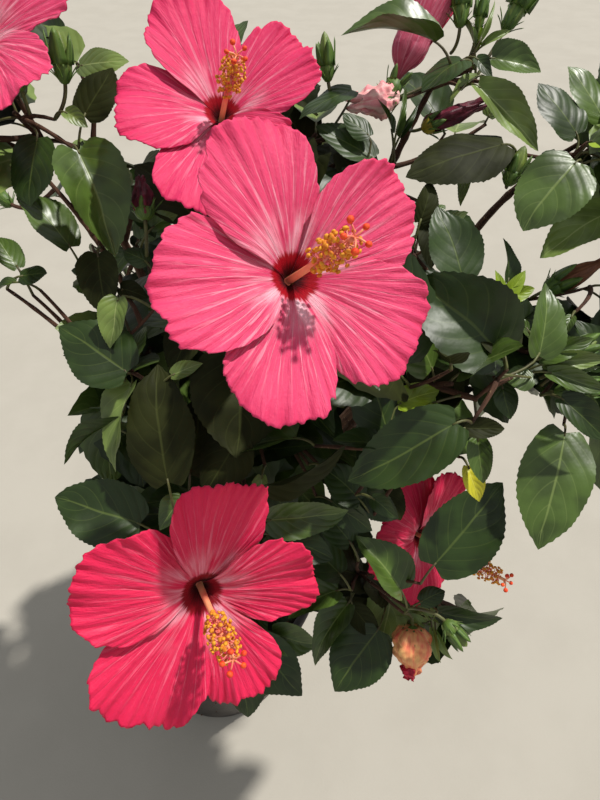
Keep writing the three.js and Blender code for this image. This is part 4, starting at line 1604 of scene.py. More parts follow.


# The shade, dark, mid and lit groups give each leaf its painted shade or painted light; young and yellow are
# the leaves' own colours.
FEATURES = {
    LeafKind.SHADE: (
        (324, 466, 474, 358, 488, 474, 0.1, 2, 1.1), (84, 116, 430, 112, 70, 430, 0.2, 2, 1.2),
        (200, 222, 452, 134, 166, 452, 0.2, 0, 1.1), (98, 254, 440, 106, 316, 446, 0.0, 1),
        (120, 288, 440, 150, 300, 444, 0.2, 4), (244, 346, 432, 238, 456, 418, -0.1, 2, 1.3),
        (192, 322, 446, 172, 374, 446, 0.1, 0), (263, 486, 410, 348, 444, 402, 1.3, 1, 0.7),
        (504, 144, 440, 407, 180, 432, 0.1, 2, 0.82), (420, 222, 436, 430, 184, 436, 0.2, 4),
        (434, 212, 450, 432, 268, 450, 0.3, 0, 0.8), (462, 428, 430, 504, 431, 430, 0.2, 4, 0.8),
        (352, 606, 564, 376, 636, 564, 0.2, 0, 0.9), (372, 474, 490, 402, 520, 490, 0.2, 0, 0.9),
        (168, 482, 420, 156, 366, 432, -0.3, 5, 0.78), (190, 474, 446, 202, 392, 448, 0.1, 2, 1.0),
        (240, 436, 424, 206, 494, 432, 0.1, 2, 1.1),
    ),
    LeafKind.DARK: (
        (127, 372, 430, 62, 326, 436, -0.2, 5, 1.05), (360, 500, 470, 322, 468, 470, 0.1, 0, 1.1),
        (38, 138, 430, 30, 206, 436, 0.1, 5, 1.0), (148, 262, 440, 124, 252, 440, 0.0, 2, 1.2),
        (20, 276, 440, 46, 276, 440, 0.0, 2, 1.3), (88, 272, 446, 72, 272, 446, 0.0, 2, 1.2),
        (140, 524, 448, 56, 500, 456, 0.1, 0, 1.05), (120, 420, 446, 66, 466, 450, 1.2, 4, 0.5),
        (268, 534, 446, 334, 556, 446, 0.2, 0, 0.8), (476, 58, 448, 492, 77, 448, 0.2, 4),
        (463, 60, 440, 422, 92, 436, 0.3, 5), (577, 134, 462, 538, 86, 462, 0.0, 5, 1.1),
        (374, 158, 450, 316, 132, 446, 0.0, 0, 0.85), (352, 90, 446, 298, 122, 446, 0.3, 5, 0.9),
        (370, 136, 440, 342, 116, 440, 0.0, 2), (463, 278, 420, 437, 209, 424, 0.1, 0, 1.1),
        (499, 351, 405, 413, 278, 408, -0.4, 3, 1.1), (508, 281, 446, 503, 237, 446, 0.4, 4, 0.8),
        (561, 398, 434, 604, 441, 434, 0.2, 4, 0.8), (602, 352, 450, 578, 318, 450, 0.0, 0, 0.9),
        (456, 423, 392, 352, 484, 404, -0.1, 0, 0.8), (502, 386, 440, 508, 422, 440, 0.2, 4, 1.0),
        (434, 565, 480, 500, 486, 480, 0.2, 0, 0.95), (378, 630, 560, 333, 688, 560, 0.0, 5, 1.05),
        (439, 612, 540, 503, 621, 540, 0.5, 4, 0.65), (420, 602, 530, 445, 590, 530, 0.2, 2, 1.0),
        (340, 574, 520, 288, 532, 520, 0.3, 0, 0.9), (372, 498, 440, 398, 518, 440, 0.2, 4, 0.9),
        (354, 490, 480, 398, 518, 480, 0.3, 1, 0.9), (330, 500, 480, 372, 532, 480, 0.3, 4, 0.9),
        (350, 542, 500, 312, 498, 500, 0.2, 0, 0.9), (400, 136, 474, 418, 104, 474, 0.4, 4, 0.34),
        (250, 640, 680, 300, 692, 690, 0.1, 0, 0.95), (244, 650, 690, 246, 716, 700, 0.1, 5, 0.9),
    ),
    LeafKind.MID: (
        (78, 151, 420, 119, 254, 432, -0.25, 3, 0.95), (70, 247, 452, 21, 192, 446, 0.5, 0, 0.9),
        (152, 228, 440, 180, 217, 440, 0.2, 4), (18, 268, 446, -6, 236, 446, 0.3, 0, 0.9),
        (16, 282, 440, -12, 296, 440, 0.3, 4, 0.7), (296, 438, 440, 206, 466, 448, 0.6, 3, 0.9),
        (182, 498, 440, 158, 532, 440, 0.1, 4), (268, 520, 440, 346, 512, 440, 0.5, 1, 0.7),
        (436, 42, 432, 341, 34, 440, 0.5, 3, 0.9), (492, 58, 452, 538, 74, 456, 0.4, 3, 1.0),
        (604, 120, 474, 568, 66, 474, 0.0, 5, 0.9), (576, 162, 430, 521, 228, 432, 0.0, 5, 1.1),
        (539, 356, 420, 546, 286, 424, 0.2, 1, 0.85), (533, 378, 424, 502, 379, 424, 0.0, 2, 1.2),
        (540, 358, 430, 594, 338, 430, 0.4, 4, 0.6), (548, 372, 430, 604, 392, 430, 0.4, 1, 0.5),
        (528, 330, 440, 510, 318, 440, 0.2, 4, 0.8), (572, 316, 440, 562, 338, 440, 0.2, 4, 0.8),
        (478, 438, 440, 480, 482, 440, 0.2, 1, 0.8), (401, 590, 500, 355, 538, 500, 0.3, 3, 0.9),
        (348, 604, 560, 313, 663, 560, 0.4, 4, 0.8), (338, 590, 524, 286, 616, 524, 0.3, 4, 0.9),
        (565, 433, 460, 535, 547, 452, -0.1, 5, 0.8), (392, 132, 470, 374, 96, 470, 0.4, 4, 0.3),
        (396, 134, 470, 402, 84, 470, 0.4, 1, 0.26), (566, 372, 436, 600, 366, 436, 0.4, 4, 0.34),
        (560, 380, 440, 598, 410, 440, 0.4, 1, 0.34), (272, 632, 690, 318, 648, 700, 0.2, 1, 0.9),
    ),
    LeafKind.LIT: (
        (80, 66, 440, 129, 64, 436, 0.2, 5, 0.9), (65, 112, 424, 89, 127, 424, 0.2, 1, 0.8),
        (118, 298, 424, 111, 349, 428, 0.0, 1, 0.9), (132, 384, 446, 116, 470, 442, 0.6, 1, 0.8),
        (172, 375, 424, 204, 366, 424, 0.2, 4, 0.8), (262, 476, 430, 262, 510, 430, 0.3, 4, 0.8),
        (478, 86, 446, 537, 152, 452, 0.3, 1, 0.5), (478, 76, 456, 450, 104, 456, 0.5, 4, 0.8),
        (476, 158, 470, 462, 206, 470, 0.5, 4, 0.7), (614, 208, 452, 543, 256, 452, 0.2, 0, 0.8),
        (544, 364, 434, 606, 358, 434, 0.4, 4, 0.5), (424, 624, 560, 394, 616, 556, 0.2, 4, 0.5),
        (430, 618, 556, 404, 602, 556, 0.2, 4, 0.5), (436, 632, 556, 452, 662, 556, 0.4, 4, 0.35),
        (434, 618, 556, 468, 616, 556, 0.4, 4, 0.4), (432, 628, 556, 442, 664, 552, 0.4, 1, 0.3),
        (474, 46, 474, 452, 10, 474, 0.4, 4, 0.3), (482, 46, 474, 512, 30, 474, 0.4, 1, 0.3),
        (480, 40, 470, 496, 2, 470, 0.4, 4, 0.26),
    ),
    LeafKind.YOUNG: (
        (504, 300, 440, 535, 290, 440, 0.3, 4, 0.8), (503, 301, 438, 524, 272, 436, 0.1, 4, 0.7),
        (501, 302, 438, 496, 272, 436, 0.1, 1, 0.6), (398, 404, 418, 440, 388, 420, 0.0, 0, 0.9),
        (436, 402, 424, 400, 418, 426, 0.0, 0, 0.9), (476, 48, 474, 478, 8, 474, 0.4, 4, 0.26),
    ),
    LeafKind.YELLOW: (
        (468, 466, 450, 476, 502, 450, 0.0, 4, 0.9),
    ),
}


@dataclass(frozen=True)
class Furl:
    """A bud or a furled bloom: foot, heading, length, radius, its finish and how its tip ends."""

    foot: Triple
    heading: Triple
    length: float
    radius: float
    finish: MottledFinish
    calyx: float = 0.5
    flare: float = 0.0
    crumple: float = 0.0
    yellow_calyx: bool = False
    cup: float = 1.0
    by_pixel: bool = False

    def foot_place(self) -> Array:
        """Where its foot is."""
        return VIEW.point(*self.foot) if self.by_pixel else vec(*self.foot)


FURLS = (
    Furl((249, -233, 611), (0, -0.7, -0.7), 41, 17.5, PEACH_FURL, 0.12, 0.1, 0.24, cup=0.3),
    Furl((223, 43, 979), (-0.93, -0.42, 0.0), 40, 11, PALE_FURL, 0.35, 0.8, 0.44, cup=0.7),
    Furl((247, 34, 958), (0.93, 0.1, 0.36), 50, 7, MAROON_FURL, 0.3, 0.6, 0.34, True),
    Furl((349, -59, 862), (0.88, 0.2, 0.42), 50, 8, BROWN_FURL, 0.45, 0.1, 0.1),
    Furl((247, -257, 588), (-0.1, -0.7, -0.7), 14, 8, RED_FURL, 0, 0.5, 0.3),
    Furl((-52, -20, 1006), (0.1, -0.2, 0.97), 26, 6, BUD, 0.8),
    Furl((300, 204, 850), (0.4, 0.3, 0.86), 26, 6, BUD, 0.8),
)
PIXEL_FURLS = tuple(replace(furl, by_pixel=True) for furl in (
    Furl((65, 82, 425), (0.0, 0.35, 0.94), 32, 6, BUD, 0.8),
    Furl((328, 80, 450), (-0.1, 0.4, 0.9), 32, 5.2, BUD, 0.7),
    Furl((508, 184, 452), (0.3, 0.3, 0.9), 28, 6.5, BUD, 0.7),
    Furl((460, 26, 470), (0.0, 0.5, 0.86), 36, 6, BUD, 0.9),
    Furl((505, 30, 480), (0.5, 0.4, 0.75), 46, 6.5, BUD, 0.9),
    Furl((446, 622, 500), (0.55, -0.5, -0.4), 26, 6.5, BUD, 0.8),
    Furl((145, 218, 430), (-0.1, 0.6, 0.5), 30, 7, MAROON_FURL, 0.4, 0.2, 0.25),
    Furl((558, 358, 440), (0.8, 0.2, 0.3), 30, 5.8, BUD, 0.9),
    Furl((556, 392, 446), (0.85, -0.05, 0.2), 30, 6, BUD, 0.9),
    Furl((478, 30, 474), (0.1, 0.5, 0.86), 24, 3.6, BUD, 0.9),
))


@dataclass(frozen=True)
class Leaf:
    """A leaf: its stalk's root, its blade's base, heading, normal and length, its colour, shape and width."""

    root: Array
    base: Array
    along: Array
    normal: Array
    length: float
    kind: LeafKind
    shape: int
    width: float = 1.0

    @property
    def middle(self) -> Array:
        """About the middle of the blade."""
        return self.base + self.along * self.length * 0.45


@dataclass
class Space:
    """A mass's space while it grows: its bough, the spheres it stays out of, its numbers and its leaves."""

    bough: Bough
    posts: tuple[Array, Array]
    random: Seeded
    leaves: list[Leaf] = field(default_factory=list)


@dataclass(frozen=True)
class Habit:
    """How a twig grows: its heading's parts sideways and ahead, its reach, its rise and the points tried."""

    side: float
    ahead: float
    reach: float
    rise: float
    points: int


LATERAL = Habit(math.sin(58 * DEG), math.cos(58 * DEG), 0.86, 0.22, 6)
FINE_TWIG = Habit(0.8, 0.6, 0.9, 0.16, 4)


@dataclass
class Crown:
    """The shrub's limbs, twigs and leaves, grown by the seeded rule inside the solids' box."""

    low: Array
    high: Array
    leaf_length: float = 84.0
    leaf_half_width: float = 0.35
    droop: float = 0.16
    internode: float = 13.0
    petiole: float = 20.0
    apart: float = 23.0
    feature_apart: float = 26.0
    most: int = 60
    tries: int = 10
    open_blade: int = 3
    open_line: int = 2
    spare: float = 6.0
    young_from: float = 900.0
    inner_below: float = 700.0
    laterals: int = 5
    lateral_length: float = 112.0
    twig_length: float = 52.0
    twig_shares: tuple[float, float] = (0.4, 0.72)
    stalk_at: float = 0.84
    limbs: dict[str, Limb] = field(default_factory=dict)
    leaders: dict[str, Shoot] = field(default_factory=dict)
    stalks: dict[str, Limb] = field(default_factory=dict)
    twigs: list[Limb] = field(default_factory=list)
    leaves: list[Leaf] = field(default_factory=list)
    features: list[Leaf] = field(default_factory=list)
    shields: list[tuple[Oval, Oval, float]] = field(default_factory=list)

    def grow(self) -> None:
        """Grows all limbs, then each mass in its own space."""
        self._grow_limbs()
        for bough in BOUGHS:
            shoot = self.limbs[bough.name].shoot
            heading = shoot.tangent(1.0)
            start = shoot.at(1.0) + heading * GAP
            self.leaders[bough.name] = Shoot.towards(start, heading, vec(*bough.leader_tip))
        for bloom in BLOOMS:
            ahead, start = bloom.axes[2], self.leaders[bloom.name].at(self.stalk_at)
            end = bloom.middle + ahead * (8 - CALYX_DEPTH)
            line = Shoot(start, end - ahead * 0.4 * size_of(end - start), end)
            self.stalks[bloom.name] = Limb(line, 2.1, 2.1)
        for kind, rows in FEATURES.items():
            self.features += [self._feature_leaf(kind, Feature(row[:3], row[3:6], *row[6:])) for row in rows]
        self._screen()
        for bough in BOUGHS:
            self._grow_mass(bough)
        self._join_features()

    def _grow_limbs(self) -> None:
        """Grows the trunk and the boughs, as the solids have them."""
        trunk = Shoot.towards(vec(0, 0, 268 + GAP), UP, vec(50, 46, 500))
        self.limbs["trunk"] = Limb(trunk, 17, 11, 10, 0.16)
        for bough in BOUGHS:
            parent = self.limbs[bough.parent].shoot
            start, along, tip = parent.at(bough.at), parent.tangent(bough.at), vec(*bough.tip)
            if bough.at == 1:
                heading, start = along, start + along * GAP
            else:
                straight = unit(tip - start)
                heading = unit(straight + vec(straight[0], straight[1], 0) * 0.55)
            shoot = Shoot.towards(start, heading, tip)
            self.limbs[bough.name] = Limb(shoot, bough.foot_radius, bough.tip_radius)

    def _space(self, bough: Bough) -> Space:
        """A mass's space, with everything that its twigs and leaves stay clear of.

        Args:
            bough: its bough.

        Returns:
            The space.
        """
        limbs = list(self.limbs.values())
        limbs += [Limb(shoot, 4, 4) for name, shoot in self.leaders.items() if name != bough.name]
        limbs += [limb for name, limb in self.stalks.items() if name != bough.name]
        middles, radii = zip(*(limb.posts() for limb in limbs))
        return Space(bough, (np.concatenate(middles), np.concatenate(radii)), Seeded(bough.seed))

    def _fits(self, space: Space, points: Array) -> bool:
        """Tells whether every point is in the mass's space and clear of blooms and limbs.

        Args:
            space: the space.
            points: one row each.

        Returns:
            True if they fit.
        """
        if (points[:, 2] < LOWEST_LEAF).any():
            return False
        if (points < self.low - self.spare).any() or (points > self.high + self.spare).any():
            return False
        own = vec(*space.bough.middle)
        for other in BOUGHS:
            if other is space.bough:
                continue
            away = vec(*other.middle) - own
            far = size_of(away)
            if (((points - own) @ away) / far > far / 2 - CLEAR_WALL).any():
                return False
        if any(bloom.holds(points) for bloom in BLOOMS):
            return False
        gaps = np.linalg.norm(points[:, None, :] - space.posts[0][None, :, :], axis=2)
        return bool((gaps > space.posts[1][None, :]).all())

    def _grow_twig(self, space: Space, parent: Shoot, share: float, turn: float, length: float,
                   drift: Array, habit: Habit) -> list[Shoot]:
        """Grows a twig off a parent, shortened or turned until it fits.

        Args:
            space: the mass's space.
            parent: the line that it leaves.
            share: how far along that.
            turn: its first turn round it.
            length: its first length.
            drift: what is added to its heading.
            habit: how it grows.

        Returns:
            The twig alone, or nothing.
        """
        start, along = parent.at(share), parent.tangent(share)
        for _ in range(self.tries):
            heading = unit(sideways(along, turn) * habit.side + along * habit.ahead + drift)
            tip = start + heading * length * habit.reach + UP * length * habit.rise
            shoot = Shoot.towards(start, heading, tip)
            line = shoot.after_start(habit.points)
            if self._fits(space, line) and self._open_ground(line) <= self.open_line:
                return [shoot]
            turn += 1.3
            length *= 0.88
        return []

    def _lateral_share(self, number: int) -> float:
        """How far along its leader a lateral leaves."""
        return 0.16 + 0.78 * (number + 0.5) / self.laterals

    def _grow_laterals(self, space: Space, leader: Shoot) -> list[Shoot]:
        """Grows laterals round the leader at the golden angle.

        Args:
            space: the mass's space.
            leader: its leader.

        Returns:
            The laterals that fit.
        """
        grown = []
        for i in range(self.laterals):
            share = self._lateral_share(i)
            start = leader.at(share)
            outward = unit(vec(start[0] - CROWN_AXIS[0], start[1] - CROWN_AXIS[1], 0))
            turn = i * GOLDEN_ANGLE + space.random.draw() * 0.7
            length = self.lateral_length * (1.1 - 0.4 * share) * (0.85 + 0.3 * space.random.draw())
            grown += self._grow_twig(space, leader, share, turn, length, outward * 0.25, LATERAL)
        return grown

    def _grow_twigs(self, space: Space, lateral: Shoot) -> list[Shoot]:
        """Grows finer twigs off a lateral, by the same rule.

        Args:
            space: the mass's space.
            lateral: the lateral.

        Returns:
            The twigs that fit.
        """
        grown = []
        for i, share in enumerate(self.twig_shares):
            turn = (1 if i else -1) * 1.5 + space.random.between(-0.6, 0.6)
            length = self.twig_length * space.random.between(0.8, 1.15)
            grown += self._grow_twig(space, lateral, share, turn, length, UP * 0.15, FINE_TWIG)
        return grown

    def _blade(self, leaf: Leaf) -> Array:
        """Points all over a leaf's blade.

        Args:
            leaf: the leaf.

        Returns:
            The points, one row each.
        """
        across = np.cross(leaf.normal, leaf.along)
        left, right = np.meshgrid(np.linspace(0, 1, 5), np.linspace(0, 1, 5))
        run = leaf.length * (left + right).ravel() * 0.5
        side = ((left - right).ravel() * self.leaf_half_width * leaf.length)[:, None]
        sag = (-self.droop * run * run / leaf.length)[:, None]
        return leaf.base + run[:, None] * leaf.along + side * across + sag * leaf.normal

    def _screen(self) -> None:
        """Notes where the front blooms, the furls and the leaves that stand out lie in the picture."""
        parts = [(bloom.middle + bloom.axes[2] * 12, bloom.radius, bloom.radius * 0.78)
                 for bloom in BLOOMS[:6]]
        parts += [(leaf.middle + UP * 12, leaf.length * 0.42, leaf.length * 0.28) for leaf in self.features]
        for furl in (*FURLS[:4], *PIXEL_FURLS):
            middle = furl.foot_place() + unit(vec(*furl.heading)) * furl.length / 2
            parts.append((middle, furl.length * 0.5, furl.radius))
        for place, reach, cover in parts:
            x, y, far = (float(value[0]) for value in VIEW.seen(place))
            scale = VIEW.span / far
            shield, cloak = (Oval(x, y, size * scale, size * scale) for size in (reach, cover))
            self.shields.append((shield, cloak, far))

    def _open_ground(self, points: Array) -> int:
        """Counts the points that would stand before ground that the picture shows bare.

        Args:
            points: one row each.

        Returns:
            How many there are.
        """
        across, down, depth = VIEW.seen(points)
        covered = (across < 0) | (across > FRAME_WIDTH) | (down < 0) | (down > FRAME_HEIGHT) | (depth < 0)
        for oval in (*(cloak for _, cloak, _ in self.shields), *THICKETS):
            covered |= oval.holds(across, down)
        return int((~covered).sum())

    def _in_view(self, points: Array) -> bool:
        """Tells whether a blade would hide what stands out, or close the open ground.

        Args:
            points: its points.

        Returns:
            True if it would.
        """
        across, down, depth = VIEW.seen(points)
        return any((shield.holds(across, down) & (depth < far + 12)).any()
                   for shield, _, far in self.shields) or self._open_ground(points) > self.open_blade

    def _crowded(self, leaf: Leaf, own: list[Leaf]) -> bool:
        """True if a leaf is too near another one of its mass, or one that stands out."""
        groups = (own, self.apart), (self.features, self.feature_apart)
        return any(size_of(other.middle - leaf.middle) < gap for others, gap in groups for other in others)

    def _grow_leaves(self, space: Space, twig: Shoot, bare: float) -> float:
        """Adds leaves along a twig, alternate, the last one at its tip.

        Args:
            space: the mass's space.
            twig: the twig.
            bare: the share of it that has no leaves.

        Returns:
            The share of the twig where its last leaf is, or 0 if it bears none.
        """
        last = 0.0
        random = space.random
        count = max(1, round(twig.length * (1 - bare) / self.internode))
        spray = random.draw()
        for i in range(count + 1):
            if len(space.leaves) >= self.most:
                break
            at_tip = i == count
            share = 0.97 if at_tip else bare + (1 - bare) * (i + 0.4) / count
            root, along = twig.at(share), twig.tangent(share)
            turn = i * GOLDEN_ANGLE + random.draw() * 0.8
            size = self.leaf_length * (0.8 + 0.38 * random.draw()) * (0.62 if at_tip else 1.06 - 0.26 * share)
            shape = int(random.draw() * len(LEAF_SHAPES)) % len(LEAF_SHAPES)
            for _ in range(self.tries):
                side = sideways(along, turn)
                heading = unit(side * (0.35 if at_tip else 0.95) + along * 0.5 + UP * 0.06)
                base = root + heading * self.petiole * size / self.leaf_length
                blade = unit(heading - UP * 0.28)
                facing = UP + side * 0.3 + vec(0.05, -0.25, 0)
                normal = unit(facing - blade * float(facing @ blade))
                leaf = Leaf(root, base, blade, normal, size, LeafKind.MID, shape)
                points = self._blade(leaf)
                clear = not self._crowded(leaf, space.leaves) and self._fits(space, points)
                if clear and not self._in_view(points):
                    space.leaves.append(replace(leaf, kind=self._kind(leaf, spray, at_tip)))
                    last = share
                    break
                turn += 1.1
                size *= 0.95
        return last

    def _kind(self, leaf: Leaf, spray: float, at_tip: bool) -> LeafKind:
        """The colour that a leaf's spray is dealt, painted shade and painted light among them.

        Args:
            leaf: the leaf.
            spray: the spray's own number from 0 to 1.
            at_tip: True for the twig's last leaf.

        Returns:
            The colour.
        """
        x, y, z = leaf.middle
        depth = 1 - math.hypot((x - CROWN_AXIS[0]) / 330, (y - CROWN_AXIS[1]) / 320)
        if at_tip and spray > 0.9 and z > self.young_from:
            return LeafKind.YOUNG
        # Leaves low in the crown's inside get painted shade.
        if z < self.inner_below and depth > 0.25:
            return LeafKind.SHADE if spray < 0.6 else LeafKind.DARK
        # The rest are dealt at random among painted shade, the dark and mid tones, and painted light.
        dealt = ((0.12, LeafKind.SHADE), (0.5, LeafKind.DARK), (0.82, LeafKind.MID))
        return next((kind for below, kind in dealt if spray < below), LeafKind.LIT)

    def _grow_mass(self, bough: Bough) -> None:
        """Grows one mass: leader, laterals, finer twigs and leaves.

        Args:
            bough: its bough.
        """
        space = self._space(bough)
        leader = self.leaders[bough.name]
        fine = [(lateral, self._grow_twigs(space, lateral)) for lateral in self._grow_laterals(space, leader)]
        ends = [self.stalk_at if bough.name in self.stalks else 0.2, self._grow_leaves(space, leader, 0.3)]
        for number, (lateral, twigs) in enumerate(fine):
            borne = [self._grow_leaves(space, lateral, 0.15)]
            for share, twig in zip(self.twig_shares, twigs):
                end = self._grow_leaves(space, twig, 0.1)
                if end:
                    self.twigs.append(Limb(twig, 1.6, 1.0, cut=end))
                    borne.append(share)
            if max(borne):
                self.twigs.append(Limb(lateral, 2.5, 1.5, cut=max(borne)))
                ends.append(self._lateral_share(number))
        self.twigs.append(Limb(leader, self.limbs[bough.name].tip, 1.9, cut=max(ends)))
        self.leaves += space.leaves

    def _feature_leaf(self, kind: LeafKind, feature: Feature) -> Leaf:
        """A leaf that stands out, placed by its pixels, its face turned to the light and the camera.

        Args:
            kind: its colour.
            feature: where it is and how it lies.

        Returns:
            The leaf, pitched up by what its droop takes off its tip.
        """
        base, tip = VIEW.point(*feature.base), VIEW.point(*feature.tip)
        along = unit(tip - base)
        facing = unit(UP * 0.9 - VIEW.axes[2] * 0.8)
        normal = turned(unit(facing - along * float(facing @ along)), along, feature.lean)
        droop = LEAF_SHAPES[feature.shape].droop
        run = 1 - 0.14 * droop
        across, pitch = np.cross(along, normal), math.atan2(droop, run)
        return Leaf(base, base, turned(along, across, pitch), turned(normal, across, pitch),
                    size_of(tip - base) / math.hypot(run, droop), kind, feature.shape + len(LEAF_SHAPES),
                    feature.width)

    def _join_features(self) -> None:
        """Joins each leaf that stands out to the nearest twig, with a twig of its own if that is far."""
        starts = [(twig, share * twig.cut) for twig in self.twigs for share in (0.3, 0.5, 0.7, 0.85, 0.98)]
        places = np.array([twig.shoot.at(share) for twig, share in starts])
        for leaf in self.features:
            behind = leaf.base - leaf.along * 22
            twig, share = starts[int(np.argmin(np.linalg.norm(places - behind, axis=1)))]
            start = twig.shoot.at(share)
            if size_of(start - leaf.base) > 40:
                node = leaf.base - leaf.along * 14 - UP * 10
                heading = unit(twig.shoot.tangent(share) * 0.4 + unit(node - start))
                self.twigs.append(Limb(Shoot.towards(start, heading, node), 1.9, 1.2))
                start = node
            self.leaves.append(replace(leaf, root=start))


@dataclass
class WoodyFrame:
    """Trunk and boughs with the relief of their bark, and all that is finer than they are."""

    crown: Crown
    spacing: float = 3.2
    sides: int = 18
    relief: float = 0.09
    ring: float = 0.07
    ring_spacing: float = 46.0

    def _relief(self, line: Array, radii: Array) -> Array:
        """Furrows, swellings and rings of a limb's bark.

        Args:
            line: the limb's points.
            radii: its radius at each.

        Returns:
            What is added to the radius, by point and side.
        """
        out = np.zeros((len(line), self.sides))
        for i, (place, radius, run) in enumerate(zip(line, radii, distances(line))):
            for j in range(self.sides):
                angle = FULL_TURN * j / self.sides
                spot = Vector((math.cos(angle) * 1.4, math.sin(angle) * 1.4, run * 0.035))
                ridge = noise.noise(spot * 2.2 + Vector(line[0] * 0.01))
                lump = noise.noise(Vector(place * 0.02) + spot)
                out[i, j] = radius * self.relief * (ridge + 0.8 * lump)
            ring = math.exp(-((run % self.ring_spacing) - self.ring_spacing / 2) ** 2 / 8)
            out[i] += radius * self.ring * ring
        return out

    def build(self) -> Thing:
        """Makes the limbs.

        Returns:
            The one piece.
        """
        soup = Soup()
        for limb in self.crown.limbs.values():
            shares = np.linspace(0, 1, max(8, int(limb.shoot.length / self.spacing)))
            line, radii = limb.shoot.points(shares), limb.radii(shares)
            soup.tube(line, radii, self.sides, self._relief(line, radii))
        piece = soup.piece("woody_frame", BARK.material())
        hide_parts(*LIMB_NODES)
        return piece

    def twigs(self) -> Thing:
        """Makes leaders, laterals, finer twigs and bloom stalks.

        Returns:
            The one piece.
        """
        soup = Soup()
        for limb in [*self.crown.twigs, *self.crown.stalks.values()]:
            shares = np.linspace(0, min(1.0, limb.cut + 0.02), max(5, int(limb.shoot.length / 6)))
            swell = 1 + 0.22 * np.exp(-((shares * limb.shoot.length) % 17 - 8.5) ** 2 / 3.0)
            soup.tube(limb.shoot.points(shares), limb.radii(shares) * swell, 8)
        return soup.piece("twigs", TWIG.material())

    def petioles(self) -> Thing:
        """Makes all leaf stalks.

        Returns:
            The one piece.
        """
        soup = Soup()
        shares = np.linspace(0, 1, 6)
        for leaf in self.crown.leaves:
            line = Shoot(leaf.root, leaf.base - leaf.along * 8, leaf.base + leaf.along * 2.5)
            soup.tube(line.points(shares), 1.15 - 0.35 * shares, 6)
        return soup.piece("petioles", PETIOLE.material())


@dataclass
class Foliage:
    """All leaves, joined by colour."""

    crown: Crown
    setter: MarkedSetter
    waviness: float = 0.011
    wave_scale: float = 24.0

    def build(self) -> list[Thing]:
        """Makes one piece for each leaf colour.

        Returns:
            The pieces.
        """
        shapes = shape_collection("leaf", *(shape.soup(*cut) for cut in (COARSE_LEAF, FINE_LEAF)
                                            for shape in LEAF_SHAPES))
        pieces = []
        for kind in LeafKind:
            marks = [Mark(leaf.base, leaf.along, leaf.normal, leaf.length, leaf.shape, leaf.width)
                     for leaf in self.crown.leaves if leaf.kind is kind]
            if marks:
                material = LEAF_FINISHES[kind].material()
                pieces.append(self.setter.build(f"leaves_{kind.value}", marks, shapes, material,
                                                self.waviness, self.wave_scale))
        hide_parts(*FOLIAGE_NODES)
        return pieces


# Buds, furled and spent blooms


